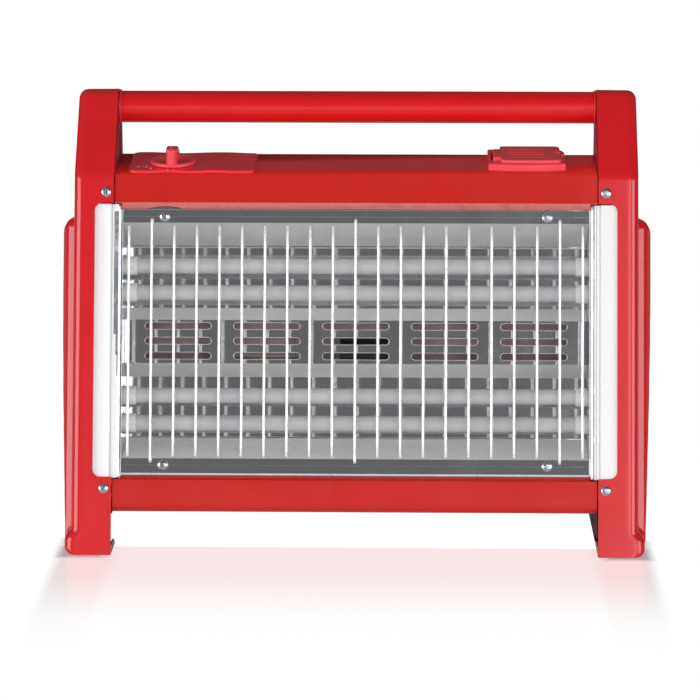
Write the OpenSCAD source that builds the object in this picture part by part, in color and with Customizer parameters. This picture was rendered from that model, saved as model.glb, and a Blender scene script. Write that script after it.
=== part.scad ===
// Electric bar heater with a leaning front, four quartz heating tubes in a
// double-trough reflector, a carrying tube, a stepped power selector and a
// hinged filler lid over a small humidifier tank.
// Origin: centre of the bounding box on the floor. +Z up, front faces -Y.

/* [Overall size] */
// Half width to the inner edge of each side panel
panel_in = 188; // [170:1:220]
// Thickness of a side panel without its swelling, measured across the heater
panel_t = 31.2; // [26:0.2:34]
// How far each side panel swells outwards past its flat edge
swell = 11.8; // [8:0.2:14]
// Depth over the feet, front to back
depth = 150; // [146:1:170]
// Height of the side panels
height = 346.8; // [346:0.2:352]
// Angle that the front leans back from the vertical
lean = 14.25; // [12:0.25:15]

/* [Side panels] */
// Wall thickness of the moulded side panels
wall = 2; // [1.6:0.1:2.2]
// Width of the flange window cut into each front wall
window_w = 14.6; // [10:0.2:18]
// Height up the front at which the flange window starts
window_s0 = 60.5; // [58:0.5:62]
// Height up the front at which the flange window ends
window_s1 = 273.1; // [271:0.1:275]

/* [Handle] */
// Outer diameter of the carrying tube
handle_d = 25; // [20:0.5:27]
// Wall of the carrying tube
handle_wall = 1.2; // [0.8:0.1:2]

/* [Casing] */
// Thickness of the painted sheet steel
sheet_t = 1.2; // [0.8:0.1:1.4]
// Upper edge of the front strip, measured up the leaning front
fold_s = 295.3; // [294:0.1:297]

/* [Reflector and lamps] */
// Thickness of the polished reflector sheet
mirror_t = 0.8; // [0.5:0.1:1]
// Depth of the trough backs behind the front plane
trough_d = 52; // [48:1:54]
// Depth of the slotted middle land behind the front plane
land_d = 28; // [24:1:32]
// Outer diameter of a quartz tube
quartz_d = 12.3; // [10:0.1:12.6]
// Diameter of the ceramic end caps
cap_d = 14.6; // [14:0.1:15]
// Depth of the lamp axes behind the front plane
lamp_d = 27; // [25:0.5:29]

/* [Guard] */
// Diameter of a guard wire
wire_d = 2.1; // [1.8:0.1:2.2]
// Distance between two upright guard wires
wire_pitch = 17.6; // [17:0.1:17.8]

/* [Controls] */
// Radius of the selector knob's disc
knob_r = 18.3; // [15:0.1:19]
// Radial play between the selector spindle and its collar
run_play = 0.05; // [0.02:0.01:0.09]

/* [Hidden] */
$fn = 64;
e = 0.01;

red_metal = [0.80, 0.16, 0.13];
red_gloss = [0.78, 0.08, 0.08];
red_plastic = [0.66, 0.13, 0.20];
mirror_c = [0.75, 0.77, 0.80];
zinc_c = [0.70, 0.74, 0.80];

// A point s up the leaning front and d behind it, as depth and height
function F(s, d) = [s * sin(lean) + d * cos(lean), s * cos(lean) - d * sin(lean)];
// Left-hand unit normal of a step from a to b
function nrm(a, b) = let (v = b - a, l = norm(v)) [-v[1] / l, v[0] / l];
// Outline of a bent sheet whose one face follows p, with thickness t to its left
function sheet(p, t) = concat(p, [for (i = [len(p) - 1 : -1 : 0])
  let (n1 = i > 0 ? nrm(p[i - 1], p[i]) : nrm(p[0], p[1]),
       n2 = i < len(p) - 1 ? nrm(p[i], p[i + 1]) : n1)
  p[i] + t * (n1 + n2) / (1 + n1 * n2)]);
// A clockwise closed outline moved inwards by g
function inset(p, g) = [for (i = [0 : len(p) - 1])
  let (a = p[(i + len(p) - 1) % len(p)], b = p[i], c = p[(i + 1) % len(p)],
       n1 = nrm(a, b), n2 = nrm(b, c))
  b - g * (n1 + n2) / (1 + n1 * n2)];

crease = F(294.8, 0);
side_p = [[0, 0], crease, [117.6, height - 4], [121.4, height - 1], [127, height],
  [144, height - 2.8], [depth, 0]];
fold = F(fold_s, 1.5);
top_rear = [137, 293.8];
top_a = atan2(top_rear[1] - fold[1], top_rear[0] - fold[0]);
top_l = norm(top_rear - fold);
handle_y = 129;
handle_z = 332.4;
lamp_s = [226.2, 205.3, 124.6, 103.2];
out_x = panel_in + panel_t;
mir_x = panel_in - 7;

// Frames: everything is measured from the front foot line, then centred
module base() { translate([0, -depth / 2, 0]) children(); }
// x across, y behind the leaning front, z up along it
module leaning() { base() rotate([-lean, 0, 0]) children(); }
// x across, y back along the top panel from its front fold, z square to it
module on_top() { base() translate([0, fold[0], fold[1]]) rotate([top_a, 0, 0]) children(); }
// A prism across the heater from an outline in depth and height
module xprism(p, x0, x1) {
  base() translate([x0, 0, 0]) rotate([90, 0, 90]) linear_extrude(x1 - x0) polygon(p);
}
// A box given by its low and high corners
module bx(a, b) { translate(a) cube(b - a); }
// A cylinder along x
module xcyl(x0, x1, r) { translate([x0, 0, 0]) rotate([0, 90, 0]) cylinder(h = x1 - x0, r = r); }
module left() { mirror([1, 0, 0]) children(); }

/* ---- side panels: moulded trays, open towards the body ---- */
// One level of the outward swelling: a long outline with blunt ends, moved in by t
function swell_p(t, z0) = let (d = 27 + t, s1 = 267 - t, y1 = 142 - t, zt = F(s1, d + 9)[1])
  [[(z0 + 1) * tan(lean) + d / cos(lean), z0],
  F(s1 - 9, d), F(s1 - 2.6, d + 2.6), F(s1, d + 9),
  [y1 - 14, zt - 4.5], [y1 - 4, zt - 9], [y1, zt - 18], [y1, z0]];
module swelling(g) {
  hull() {
    xprism(inset(swell_p(0, 1), g), out_x - 6, out_x + swell - 8.6 - g);
    xprism(inset(swell_p(1.5, 1.8), g), out_x, out_x + swell - 5.8 - g);
    xprism(inset(swell_p(3.6, 5), g), out_x, out_x + swell - 3.6 - g);
    xprism(inset(swell_p(5.4, 52), g), out_x, out_x + swell - 2.5 - g);
    xprism(inset(swell_p(7.4, 108), g), out_x, out_x + swell - 1.4 - g);
    xprism(inset(swell_p(9.6, 150), g), out_x, out_x + swell - 0.5 - g);
    xprism(inset(swell_p(12.5, 185), g), out_x, out_x + swell - g);
  }
}
module side_slab(x0, g) {
  hull() {
    xprism(inset(side_p, g), x0, out_x - 7 - g);
    xprism(inset(side_p, 0.9 + g), x0, out_x - 3.5 - g);
    xprism(inset(side_p, 3.4 + g), x0, out_x - 0.9 - g);
    xprism(inset(side_p, 7 + g), x0, out_x - g);
  }
}
module foot_flare() {
  intersection() {
    base() rotate([90, 0, 0]) translate([0, 0, -depth - 1]) linear_extrude(depth + 2)
      polygon([[panel_in, 0], [out_x - 6, 0], [out_x + 3, 1], [out_x + 4.4, 2.2],
        [out_x + 5, 4.2], [out_x + 5, 10.4], [out_x + 4.2, 13], [out_x + 2.4, 15.2],
        [out_x + 0.5, 17.2], [out_x - 1, 20], [panel_in, 20]]);
    xprism(side_p, panel_in, out_x + 6);
  }
}
module side_panel() {
  difference() {
    union() { side_slab(panel_in, 0); foot_flare(); swelling(0); }
    side_slab(panel_in - 3, wall);
    swelling(wall);
    leaning() bx([panel_in - 3, -6, window_s0], [panel_in + window_w - 6, 6, window_s1]);
    leaning() bx([panel_in - 3, -6, window_s0 + 6], [panel_in + window_w, 6, window_s1 - 6]);
    for (s = [window_s0 + 6, window_s1 - 6]) leaning() translate([panel_in + window_w - 6, 6, s])
      rotate([90, 0, 0]) cylinder(h = 12, r = 6);
    for (s = [51.5, 281.5]) leaning() translate([panel_in + 5.8, 6, s])
      rotate([90, 0, 0]) cylinder(h = 12, r = 2.1);
  }
  xprism([[2.2, 0], [34, 0], [34, 4.6], [3.6, 6.6]], panel_in, panel_in + 1.6);
}
module side_panel_right() { color(red_gloss) side_panel(); }
// the left foot is open behind its front part, on the side of the body
module side_panel_left() {
  color(red_gloss) left() difference() {
    side_panel();
    base() bx([panel_in - 1, 36, -1], [panel_in + 15.6, depth + 1, 31]);
  }
}

/* ---- end frames: pressed plates that carry the handle, lamps and casing ---- */
module end_frame() {
  x0 = panel_in - 0.6; x1 = x0 + 1.2;
  inn = inset(side_p, wall + 0.6);
  difference() {
    union() {
      xprism([[42, 2.6], [42, 4.6], [38, 9.4], [7, 12.5], F(54, 2.6), F(54, 8.6), F(278, 8.6),
        F(278, 2.6), inn[1], inn[2], inn[3], inn[4], inn[5], [depth - 3, 2.6]], x0, x1);
      // tabs behind the side panel's front screws
      leaning() bx([x0, 2.6, 44], [x0 + 13.5, 3.8, 54]);
      leaning() bx([x0, 2.6, 277.4], [x0 + 13.5, 3.8, 287]);
    }
    // windows for the lamp ends and for air
    leaning() bx([x0 - 3, 17, 96], [x1 + 3, 37, 234]);
    xprism([[72, 40], [122, 40], [122, 150], [100, 150]], x0 - 3, x1 + 3);
    base() translate([0, handle_y, handle_z]) xcyl(x0 - 3, x1 + 3, 2.3);
    base() translate([0, 124, 182.3]) xcyl(x0 - 3, x1 + 3, 4);
    for (s = [51.5, 281.5]) leaning() translate([panel_in + 5.8, 8, s])
      rotate([90, 0, 0]) cylinder(h = 12, r = 1.65);
  }
}
module end_frame_right() { color([0.45, 0.09, 0.10]) end_frame(); }
module end_frame_left() {
  color([0.45, 0.09, 0.10]) left() difference() {
    end_frame();
    base() bx([panel_in - 3, -1, -1], [panel_in + 3, depth, 30.4]);
  }
}

/* ---- casing ---- */
cas_x = panel_in - 0.8;
module casing_top() {
  color(red_metal) difference() {
    xprism(sheet([F(269.1, 6), F(273.6, 1.5), fold, top_rear, [top_rear[0], 281]], -sheet_t),
      -cas_x, cas_x);
    // the lip stops short of the side plates
    for (m = [0, 1]) mirror([m, 0, 0]) leaning() bx([mir_x + 0.9, -1, 266], [190, 8.6, 273.2]);
    on_top() translate([-144.2, 29, -4]) cylinder(h = 8, r = 4.6);
    on_top() bx([113.2, 20.2, -4], [156.8, 50.8, 4]);
    for (x = [-160, -54, 54, 160]) base() translate([x, 140, 286]) rotate([90, 0, 0])
      cylinder(h = 8, r = 1.45);
  }
}
module casing_bottom() {
  b = F(34, 8.5)[1];
  color(red_metal) difference() {
    xprism(sheet([F(61.6, 6), F(58.3, 1.5), F(40.7, 1.5), F(37.3, 2.5), F(34.9, 4.9), [16.6, b],
      [137, b], [137, 44]], sheet_t), -cas_x, cas_x);
    for (x = [-160, -54, 54, 160]) base() translate([x, 140, 38]) rotate([90, 0, 0])
      cylinder(h = 8, r = 1.45);
    for (m = [0, 1]) mirror([m, 0, 0]) leaning() bx([mir_x + 0.9, -1, 58.7], [190, 8.6, 66]);
    // air inlets in the underside
    for (x = [-140 : 40 : 140], y = [58, 78, 98])
      base() bx([x - 13, y, b - 2], [x + 13, y + 5, b + 4]);
  }
}
module rear_cover() {
  y0 = 137; y1 = y0 + sheet_t;
  color(red_metal) difference() {
    base() bx([-cas_x, y0, 31.2], [cas_x, y1, 292.8]);
    // louvre slots with round ends, in four columns
    for (x = [-132, -44, 44, 132], z = [112 : 12 : 256]) {
      base() bx([x - 27, y0 - 2, z - 2.2], [x + 27, y1 + 2, z + 2.2]);
      for (k = [-27, 27]) base() translate([x + k, y1 + 2, z]) rotate([90, 0, 0])
        cylinder(h = 6, r = 2.2, $fn = 24);
    }
    for (x = [-160, -54, 54, 160], z = [38, 286]) base() translate([x, y1 + 2, z])
      rotate([90, 0, 0]) cylinder(h = 6, r = 1.9);
    base() translate([150, y1 + 2, 62]) rotate([90, 0, 0]) cylinder(h = 6, r = 6.05);
  }
}

/* ---- reflector ---- */
refl = [[273, 7], [258.4, 7], [242.5, trough_d], [195, trough_d], [184, land_d],
  [150, land_d], [140.5, trough_d], [92.5, trough_d], [75.1, 7], [60.5, 7]];
module reflector() {
  color(mirror_c) difference() {
    xprism(sheet([for (p = refl) F(p[0], p[1])], mirror_t), -mir_x, mir_x);
    for (x = [-139.2 : 69.6 : 139.3], s = [155.9, 167.6, 179.3]) {
      leaning() bx([x - 23.3, land_d - 2, s - 2.7], [x + 23.3, land_d + 4, s + 2.7]);
      for (k = [-23.3, 23.3]) leaning() translate([x + k, land_d + 4, s])
        rotate([90, 0, 0]) cylinder(h = 6, r = 2.7, $fn = 32);
    }
    for (x = [-148.6, 148.6], s = [70, 263.2]) leaning() translate([x, 12, s])
      rotate([90, 0, 0]) cylinder(h = 8, r = 2.1);
    for (x = [-9, 0, 9] * wire_pitch, s = [72.4, 261]) leaning() translate([x, 12, s])
      rotate([90, 0, 0]) cylinder(h = 8, r = wire_d / 2 + 0.25, $fn = 24);
  }
}
// end walls of the troughs, with clearance holes for the lamp caps
module reflector_cheek() {
  leaning() difference() {
    bx([mir_x + 0.2, 6.4, 62.4], [mir_x + 1, trough_d + 3, 270]);
    for (s = lamp_s) translate([0, lamp_d, s]) xcyl(mir_x - 2, mir_x + 4, 8.9);
  }
}
module reflector_cheek_right() { color(mirror_c) reflector_cheek(); }
module reflector_cheek_left() { color(mirror_c) left() reflector_cheek(); }
// white flanges that show through the side panel windows
module side_plate() {
  difference() {
    leaning() translate([0, 0, 61.9]) linear_extrude(210.7)
      polygon([[mir_x + 1.2, 4.6], [mir_x + 8.2, 4.6], [mir_x + 9.2, 2.4], [panel_in + 20, 2.4],
        [panel_in + 20, 3.2], [mir_x + 9.7, 3.2], [mir_x + 8.7, 5.4], [mir_x + 1.2, 5.4]]);
    // two small holes for fixing
    for (s = [92, 242]) leaning() translate([panel_in + 17.4, 6, s]) rotate([90, 0, 0])
      cylinder(h = 6, r = 1.2, $fn = 24);
  }
}
module side_plate_right() { color([0.95, 0.95, 0.94]) side_plate(); }
module side_plate_left() { color([0.95, 0.95, 0.94]) left() side_plate(); }

/* ---- guard: 21 upright wires on two cross wires, three of them hooked in ---- */
guard_d = 4.4;
module guard_uprights() {
  r = wire_d / 2;
  color([0.93, 0.93, 0.92]) leaning() for (i = [-10 : 10]) {
    hook = (abs(i) == 9 || i == 0);
    s0 = hook ? 72.4 : 76.6; s1 = hook ? 261 : 255.9;
    translate([i * wire_pitch, guard_d, s0]) cylinder(h = s1 - s0, r = r, $fn = 24);
    if (hook) for (s = [s0, s1]) {
      translate([i * wire_pitch, guard_d, s]) sphere(r = r, $fn = 24);
      translate([i * wire_pitch, 13, s]) rotate([90, 0, 0])
        cylinder(h = 13 - guard_d, r = r, $fn = 24);
    }
  }
}
module guard_cross_wires() {
  color([0.93, 0.93, 0.92]) leaning() for (s = [91.3, 239.7])
    translate([0, guard_d + wire_d + 0.02, s])
      xcyl(-10 * wire_pitch - 1.6, 10 * wire_pitch + 1.6, wire_d / 2, $fn = 24);
}

/* ---- lamps ---- */
module quartz_tube(i) {
  color([0.80, 0.82, 0.84, 0.5]) leaning() translate([0, lamp_d, lamp_s[i]]) difference() {
    xcyl(-178, 178, quartz_d / 2);
    xcyl(-179, 179, quartz_d / 2 - 1.2);
  }
}
module quartz_tube_1() { quartz_tube(0); }
module quartz_tube_2() { quartz_tube(1); }
module quartz_tube_3() { quartz_tube(2); }
module quartz_tube_4() { quartz_tube(3); }
// envelope of the wound heating wire, with its straight lead at each end
module heating_coil(i) {
  color([0.35, 0.33, 0.32]) leaning() translate([0, lamp_d, lamp_s[i]]) {
    difference() { xcyl(-166, 166, 3.4); xcyl(-164, 164, 2.4); }
    xcyl(-196, -165, 1);
    xcyl(165, 196, 1);
  }
}
module heating_coil_1() { heating_coil(0); }
module heating_coil_2() { heating_coil(1); }
module heating_coil_3() { heating_coil(2); }
module heating_coil_4() { heating_coil(3); }
module ceramic_caps() {
  leaning() for (s = lamp_s) translate([0, lamp_d, s]) difference() {
    xcyl(171.5, 196, cap_d / 2);
    xcyl(170, 178.2, quartz_d / 2 + 0.05);
    xcyl(170, 200, 1.3);
  }
}
module ceramic_caps_right() { color([0.95, 0.95, 0.93]) ceramic_caps(); }
module ceramic_caps_left() { color([0.95, 0.95, 0.93]) left() ceramic_caps(); }
module lamp_bracket() {
  x0 = panel_in + 2; xf = panel_in + 0.6;
  leaning() {
    difference() {
      bx([x0, 14, 89], [x0 + 1.2, 40, 241]);
      for (s = lamp_s) translate([0, lamp_d, s]) xcyl(x0 - 2, x0 + 4, cap_d / 2 + 0.1);
    }
    bx([xf, 14, 89], [x0 + e, 40, 91]);
    bx([xf, 14, 239], [x0 + e, 40, 241]);
  }
}
module lamp_bracket_right() { color(zinc_c) lamp_bracket(); }
module lamp_bracket_left() { color(zinc_c) left() lamp_bracket(); }
module lamp_terminals() {
  leaning() for (s = lamp_s) translate([0, lamp_d, s]) {
    xcyl(196.05, 206, 1.6);
    xcyl(198, 200.6, 3.4, $fn = 6);
    xcyl(201.4, 204, 3.4, $fn = 6);
  }
}
module lamp_terminals_right() { color([0.80, 0.68, 0.35]) lamp_terminals(); }
module lamp_terminals_left() { color([0.80, 0.68, 0.35]) left() lamp_terminals(); }

/* ---- carrying handle ---- */
tube_x = panel_in - 1.75;
module handle_tube() {
  color(red_gloss) base() translate([0, handle_y, handle_z]) difference() {
    xcyl(-tube_x, tube_x, handle_d / 2);
    xcyl(-tube_x - 1, tube_x + 1, handle_d / 2 - handle_wall);
  }
}
module handle_plug() {
  base() translate([0, handle_y, handle_z]) difference() {
    union() {
      xcyl(tube_x + 0.02, panel_in - 0.62, handle_d / 2 + 1.1);
      xcyl(tube_x - 22, tube_x + 0.5, handle_d / 2 - handle_wall - 0.05);
    }
    xcyl(tube_x - 24, panel_in, 2.1);
  }
}
module handle_plug_right() { color(red_plastic) handle_plug(); }
module handle_plug_left() { color(red_plastic) left() handle_plug(); }
module handle_screw() {
  base() translate([0, handle_y, handle_z]) {
    xcyl(tube_x - 18, panel_in + 0.7, 2);
    difference() {
      xcyl(panel_in + 0.62, panel_in + 3.4, 4.2);
      xcyl(panel_in + 2, panel_in + 4.4, 1.8, $fn = 6);
    }
  }
}
module handle_screws() { color(zinc_c) { handle_screw(); left() handle_screw(); } }

/* ---- control plate, selector and switch ---- */
knob_x = -144.2;
knob_t = 29;
plate_h = 2;
function plate_front(x) = 5 - 1.4 * cos(360 * (x + 92) / 37);
function plate_rear(x) = 60.2 + 1.6 * cos(360 * (x + 108) / 60);
module control_plate() {
  color(red_plastic) on_top() difference() {
    intersection() {
      translate([0, 0, 0.02]) linear_extrude(plate_h) polygon(concat(
        [for (x = [-178 : 3 : -79]) [x, plate_front(x)]],
        [for (x = [-79 : -3 : -178]) [x, plate_rear(x)]]));
      union() {
        bx([-178, 10, -1], [-79, 55, 4]);
        bx([-171, 0, -1], [-86, 64, 4]);
        for (x = [-171, -86], t = [11.5, 54.5]) translate([x, t, -1]) cylinder(h = 5, r = 7);
      }
    }
    translate([knob_x, knob_t, -2]) cylinder(h = 8, r = 4.6);
  }
}
module selector_knob() {
  color(red_plastic) on_top() translate([knob_x, knob_t, 0]) difference() {
    union() {
      translate([0, 0, 2.25]) cylinder(h = 2.75, r = knob_r);
      intersection() {
        translate([-4.35, 0, 0]) rotate([90, 0, 90]) linear_extrude(8.7)
          polygon([[-18, 4.8], [-18, 15.4], [-16.6, 16.9], [-8, 16.9], [-1, 15.6], [6, 12.6],
            [12, 8.6], [16.5, 4.8]]);
        translate([0, 0, 4]) cylinder(h = 16, r = knob_r - 0.4);
      }
      translate([0, 0, 4.8]) cylinder(h = 7, r = 5);
    }
    translate([0, 0, 1]) cylinder(h = 9.1, r = 3.02);
  }
}
// rotary power switch: case with a collar through the top panel
module switch_body() {
  color([0.12, 0.12, 0.13]) on_top() translate([knob_x, knob_t, 0]) difference() {
    union() {
      bx([-14, -13, -22], [14, 13, -1.25]);
      translate([0, 0, -1.5]) cylinder(h = 3.55, r = 4.4);
      for (x = [-9, 0, 9]) bx([x - 2.4, -3, -29], [x + 2.4, -2.2, -21.9]);
    }
    translate([0, 0, -16]) cylinder(h = 7, r = 9.4);
    translate([0, 0, -10]) cylinder(h = 20, r = 3 + run_play);
  }
}
module switch_spindle() {
  color([0.75, 0.75, 0.72]) on_top() translate([knob_x, knob_t, 0]) {
    translate([0, 0, -15.2]) cylinder(h = 5.4, r = 9);
    translate([0, 0, -10]) cylinder(h = 20, r = 3);
  }
}

/* ---- filler lid over the humidifier tank ---- */
hinge_x = 108.6;
hinge_h = 3.2;
module lid_base() {
  color(red_plastic) on_top() difference() {
    union() {
      translate([0, 0, 0.02]) linear_extrude(5) polygon(concat(
        [for (k = [0 : 10]) [103 + 6.05 * k, 16.6 - 3.4 * sin(18 * k)]],
        [[163.5, 54], [162.2, 58], [159, 60.8], [154, 61.2], [103.6, 61.2], [103, 60.6]]));
      bx([113.5, 20.5, -11], [156.5, 50.5, 1]);
    }
    bx([115.5, 22, -12], [154.5, 49, 8]);
    // pocket for the hinge barrel
    bx([105.4, 25.4, 0.9], [111.4, 52.6, 8]);
    translate([hinge_x, 57.4, hinge_h]) rotate([90, 0, 0]) cylinder(h = 37, r = 1.05, $fn = 32);
    // finger dip at the free end
    bx([160.4, 33, 3.4], [164, 47, 8]);
  }
  color(red_plastic) on_top() {
    // the pin's two seats
    for (t = [20.6, 53]) difference() {
      bx([hinge_x - 2.6, t, 1.4], [hinge_x + 2.6, t + 4.4, 5]);
      translate([hinge_x, t + 6, hinge_h]) rotate([90, 0, 0]) cylinder(h = 8, r = 1.05, $fn = 32);
    }
  }
}
module lid_flap() {
  h0 = 5.15;
  color(red_plastic) on_top() difference() {
    union() {
      translate([0, 0, h0]) linear_extrude(2.6) polygon([[112.6, 20.2], [114.4, 18.4],
        [124, 17.4], [136, 17], [148, 17.4], [158, 18.6], [159.8, 20.6], [159.8, 57.5],
        [158.6, 60], [156, 61], [114.2, 61], [112.6, 59.4]]);
      bx([108.6, 26, h0], [113, 52, 6.9]);
      translate([hinge_x, 52, hinge_h]) rotate([90, 0, 0]) cylinder(h = 26, r = 1.95, $fn = 48);
      bx([hinge_x - 1.95, 26, hinge_h], [hinge_x + 1.95, 52, 6.2]);
      // rim that drops into the filler mouth
      bx([117.4, 24, 2.6], [152.6, 47, h0 + 0.2]);
    }
    bx([119, 25.6, 0], [151, 45.4, h0]);
    translate([hinge_x, 53, hinge_h]) rotate([90, 0, 0]) cylinder(h = 28, r = 1.05, $fn = 32);
    // grip grooves and thumb scoop
    for (t = [25.5, 33, 40.5, 48]) bx([118, t, 7.3], [148, t + 2.2, 9]);
    translate([159.8, 40, 10.6]) rotate([0, 90, 0]) translate([0, 0, -8]) cylinder(h = 10, r = 4.6);
  }
}
module lid_hinge_pin() {
  color(zinc_c) on_top() translate([hinge_x, 57, hinge_h]) rotate([90, 0, 0])
    cylinder(h = 36, r = 1, $fn = 32);
}
module water_tank() {
  color([0.85, 0.86, 0.84]) on_top() difference() {
    bx([40, 14, -44], [172, 54, -3]);
    bx([41.6, 15.6, -42.4], [170.4, 52.4, 0]);
  }
}

/* ---- inner parts ---- */
module tilt_switch() {
  color([0.22, 0.22, 0.24]) base() difference() {
    union() {
      bx([-13, 106, 122], [27, 136.9, 150]);
      translate([-13, 106, 136]) rotate([0, 90, 0]) cylinder(h = 40, r = 14);
    }
    translate([-16, 106, 136]) rotate([0, 90, 0]) cylinder(h = 4, r = 3);
  }
}
module thermal_cutout() {
  color([0.75, 0.72, 0.65]) leaning() translate([104.4, 0, 167.6]) {
    translate([0, 38.8, 0]) rotate([90, 0, 0]) cylinder(h = 10 - mirror_t - 0.02, r = 7);
    bx([-2.4, 38.7, 2.6], [2.4, 44.5, 3.4]);
    bx([-2.4, 38.7, -3.4], [2.4, 44.5, -2.6]);
  }
}
module terminal_block() {
  color([0.92, 0.92, 0.88]) base() difference() {
    bx([76, 121, 52], [114, 136.9, 72]);
    for (x = [84, 95, 106]) translate([x, 130, 45]) cylinder(h = 40, r = 2.2);
    for (x = [84, 95, 106]) translate([x, 128, 62]) rotate([90, 0, 0]) cylinder(h = 20, r = 2.4);
  }
}
// a wire laid through a list of points, with a small bead at each bend
module wire(p, r) {
  for (i = [0 : len(p) - 2]) let (v = p[i + 1] - p[i], l = norm(v))
    translate(p[i]) rotate([0, acos(v[2] / l), atan2(v[1], v[0])]) cylinder(h = l, r = r, $fn = 16);
  if (len(p) > 2) for (i = [1 : len(p) - 2]) translate(p[i]) sphere(r = r + 0.35, $fn = 24);
}
// a point x across, s up the leaning front and d behind it
function P3(x, s, d) = [x, F(s, d)[0], F(s, d)[1]];
module wiring_supply() {
  color([0.80, 0.80, 0.78]) base() {
    wire([[84, 130, 74], [84, 131, 100], [-34, 131, 104], [-40, 131, 131], [-108, 131, 131.5],
      [-143.9, 128, 236], [-143.9, 110, 258]], 1.3);
    wire([[95, 130, 74], [95, 126, 106], [7, 126, 110], [7, 126, 121]], 1.3);
  }
}
// one feed to each end of the lamps, with a riser that links the four terminals
module wiring_lamps() {
  color([0.90, 0.88, 0.82]) base() {
    wire([[106, 130, 74], [106, 130.5, 90], [178, 130, 92], [177, 126, 179.5], [200, 121.5, 187],
      P3(207.3, 165, 27)], 1.3);
    wire([P3(207.3, 232, 27), P3(207.3, 97, 27)], 1.25);
    wire([[-134.9, 110, 258], [-134.9, 123, 238], [-176, 128, 214], [-177, 126, 179.5],
      [-200, 121.5, 187], P3(-207.3, 165, 27)], 1.3);
    wire([P3(-207.3, 232, 27), P3(-207.3, 97, 27)], 1.25);
  }
}
module cable_gland() {
  color([0.10, 0.10, 0.11]) base() translate([150, 0, 62]) rotate([-90, 0, 0]) difference() {
    union() {
      translate([0, 0, 130]) cylinder(h = 9, r = 6);
      translate([0, 0, 138.22]) cylinder(h = 2.6, r = 9);
      translate([0, 0, 140.8]) cylinder(h = 6, r1 = 7, r2 = 5.6);
      translate([0, 0, 134.4]) cylinder(h = 2.5, r = 7.4);
    }
    translate([0, 0, 128]) cylinder(h = 22, r = 3.75);
  }
}

/* ---- fasteners ---- */
// pan head with a cross recess, pointing along -y, head resting on y = 0
module pan_screw(r, hh, shank, l) {
  rotate([90, 0, 0]) difference() {
    union() {
      cylinder(h = hh * 0.55, r = r);
      translate([0, 0, hh * 0.55 - e]) cylinder(h = hh * 0.45 + e, r1 = r, r2 = r * 0.62);
      translate([0, 0, -l]) cylinder(h = l + e, r = shank);
    }
    translate([0, 0, hh * 0.35]) for (a = [0, 90]) rotate([0, 0, a])
      bx([-r * 0.5, -0.45, 0], [r * 0.5, 0.45, hh]);
  }
}
module flange_screws() {
  color(zinc_c) for (x = [-148.6, 148.6], s = [70, 263.2])
    leaning() translate([x, 6.98, s]) pan_screw(3.95, 2.2, 1.9, 8);
}
module panel_screws() {
  color(zinc_c) for (m = [-1, 1], s = [51.5, 281.5])
    leaning() translate([m * (panel_in + 5.8), -0.02, s]) pan_screw(4.1, 2.3, 1.6, 9);
}
module rear_screws() {
  color(zinc_c) for (x = [-160, -54, 54, 160], z = [38, 286])
    base() translate([x, 137 + sheet_t + 0.02, z]) rotate([0, 0, 180]) pan_screw(3.6, 2, 1.4, 8);
}

side_panel_left();
side_panel_right();
end_frame_left();
end_frame_right();
casing_top();
casing_bottom();
rear_cover();
reflector();
reflector_cheek_left();
reflector_cheek_right();
side_plate_left();
side_plate_right();
guard_uprights();
guard_cross_wires();
quartz_tube_1();
quartz_tube_2();
quartz_tube_3();
quartz_tube_4();
heating_coil_1();
heating_coil_2();
heating_coil_3();
heating_coil_4();
ceramic_caps_left();
ceramic_caps_right();
lamp_bracket_left();
lamp_bracket_right();
lamp_terminals_left();
lamp_terminals_right();
handle_tube();
handle_plug_left();
handle_plug_right();
handle_screws();
control_plate();
selector_knob();
switch_body();
switch_spindle();
lid_base();
lid_flap();
lid_hinge_pin();
water_tank();
tilt_switch();
thermal_cutout();
terminal_block();
wiring_supply();
wiring_lamps();
cable_gland();
flange_screws();
panel_screws();
rear_screws();
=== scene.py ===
import bpy
import bmesh
import math
import random
import numpy as np
from mathutils import Vector, Matrix


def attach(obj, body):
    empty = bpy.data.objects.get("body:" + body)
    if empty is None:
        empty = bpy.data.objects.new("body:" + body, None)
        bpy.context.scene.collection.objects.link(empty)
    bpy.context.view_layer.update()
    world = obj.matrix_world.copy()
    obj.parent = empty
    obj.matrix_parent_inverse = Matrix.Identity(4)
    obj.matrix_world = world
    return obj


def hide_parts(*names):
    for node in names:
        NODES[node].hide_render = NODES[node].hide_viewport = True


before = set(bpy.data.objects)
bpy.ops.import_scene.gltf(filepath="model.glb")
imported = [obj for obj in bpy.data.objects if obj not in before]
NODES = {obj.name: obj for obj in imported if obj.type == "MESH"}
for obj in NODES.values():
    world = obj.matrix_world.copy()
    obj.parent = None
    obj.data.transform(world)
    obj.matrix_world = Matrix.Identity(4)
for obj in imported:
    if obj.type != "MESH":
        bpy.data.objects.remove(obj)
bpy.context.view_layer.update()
scene = bpy.context.scene
random.seed(7)

# ------------------------------------------------------------------ camera
cam_data = bpy.data.cameras.new("photo_camera")
cam_data.sensor_fit = "HORIZONTAL"
cam_data.sensor_width = 36.0
cam_data.lens = 162.0
cam_data.clip_start = 0.05
cam_data.clip_end = 60.0
cam = bpy.data.objects.new("photo_camera", cam_data)
cam.location = (0.0491, -2.4244, 0.6271)
cam.rotation_euler = (math.radians(78.81), 0.0, math.radians(1.27))
scene.collection.objects.link(cam)
scene.camera = cam

# ------------------------------------------------------------------ places
LEAN = math.radians(14.25)
TILT = math.radians(7.213)
SL, CL = math.sin(LEAN), math.cos(LEAN)
ST, CT = math.sin(TILT), math.cos(TILT)


def P(x, s, d):
    """x across, s up the leaning front, d behind it (mm) -> metres."""
    return Vector((x, s * SL + d * CL - 75.0, s * CL - d * SL)) / 1000.0


def Q(x, t, h):
    """x across, t back along the top panel, h above it (mm) -> metres."""
    return Vector((x, -0.858 + t * CT - h * ST, 285.845 + t * ST + h * CT)) / 1000.0


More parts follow.
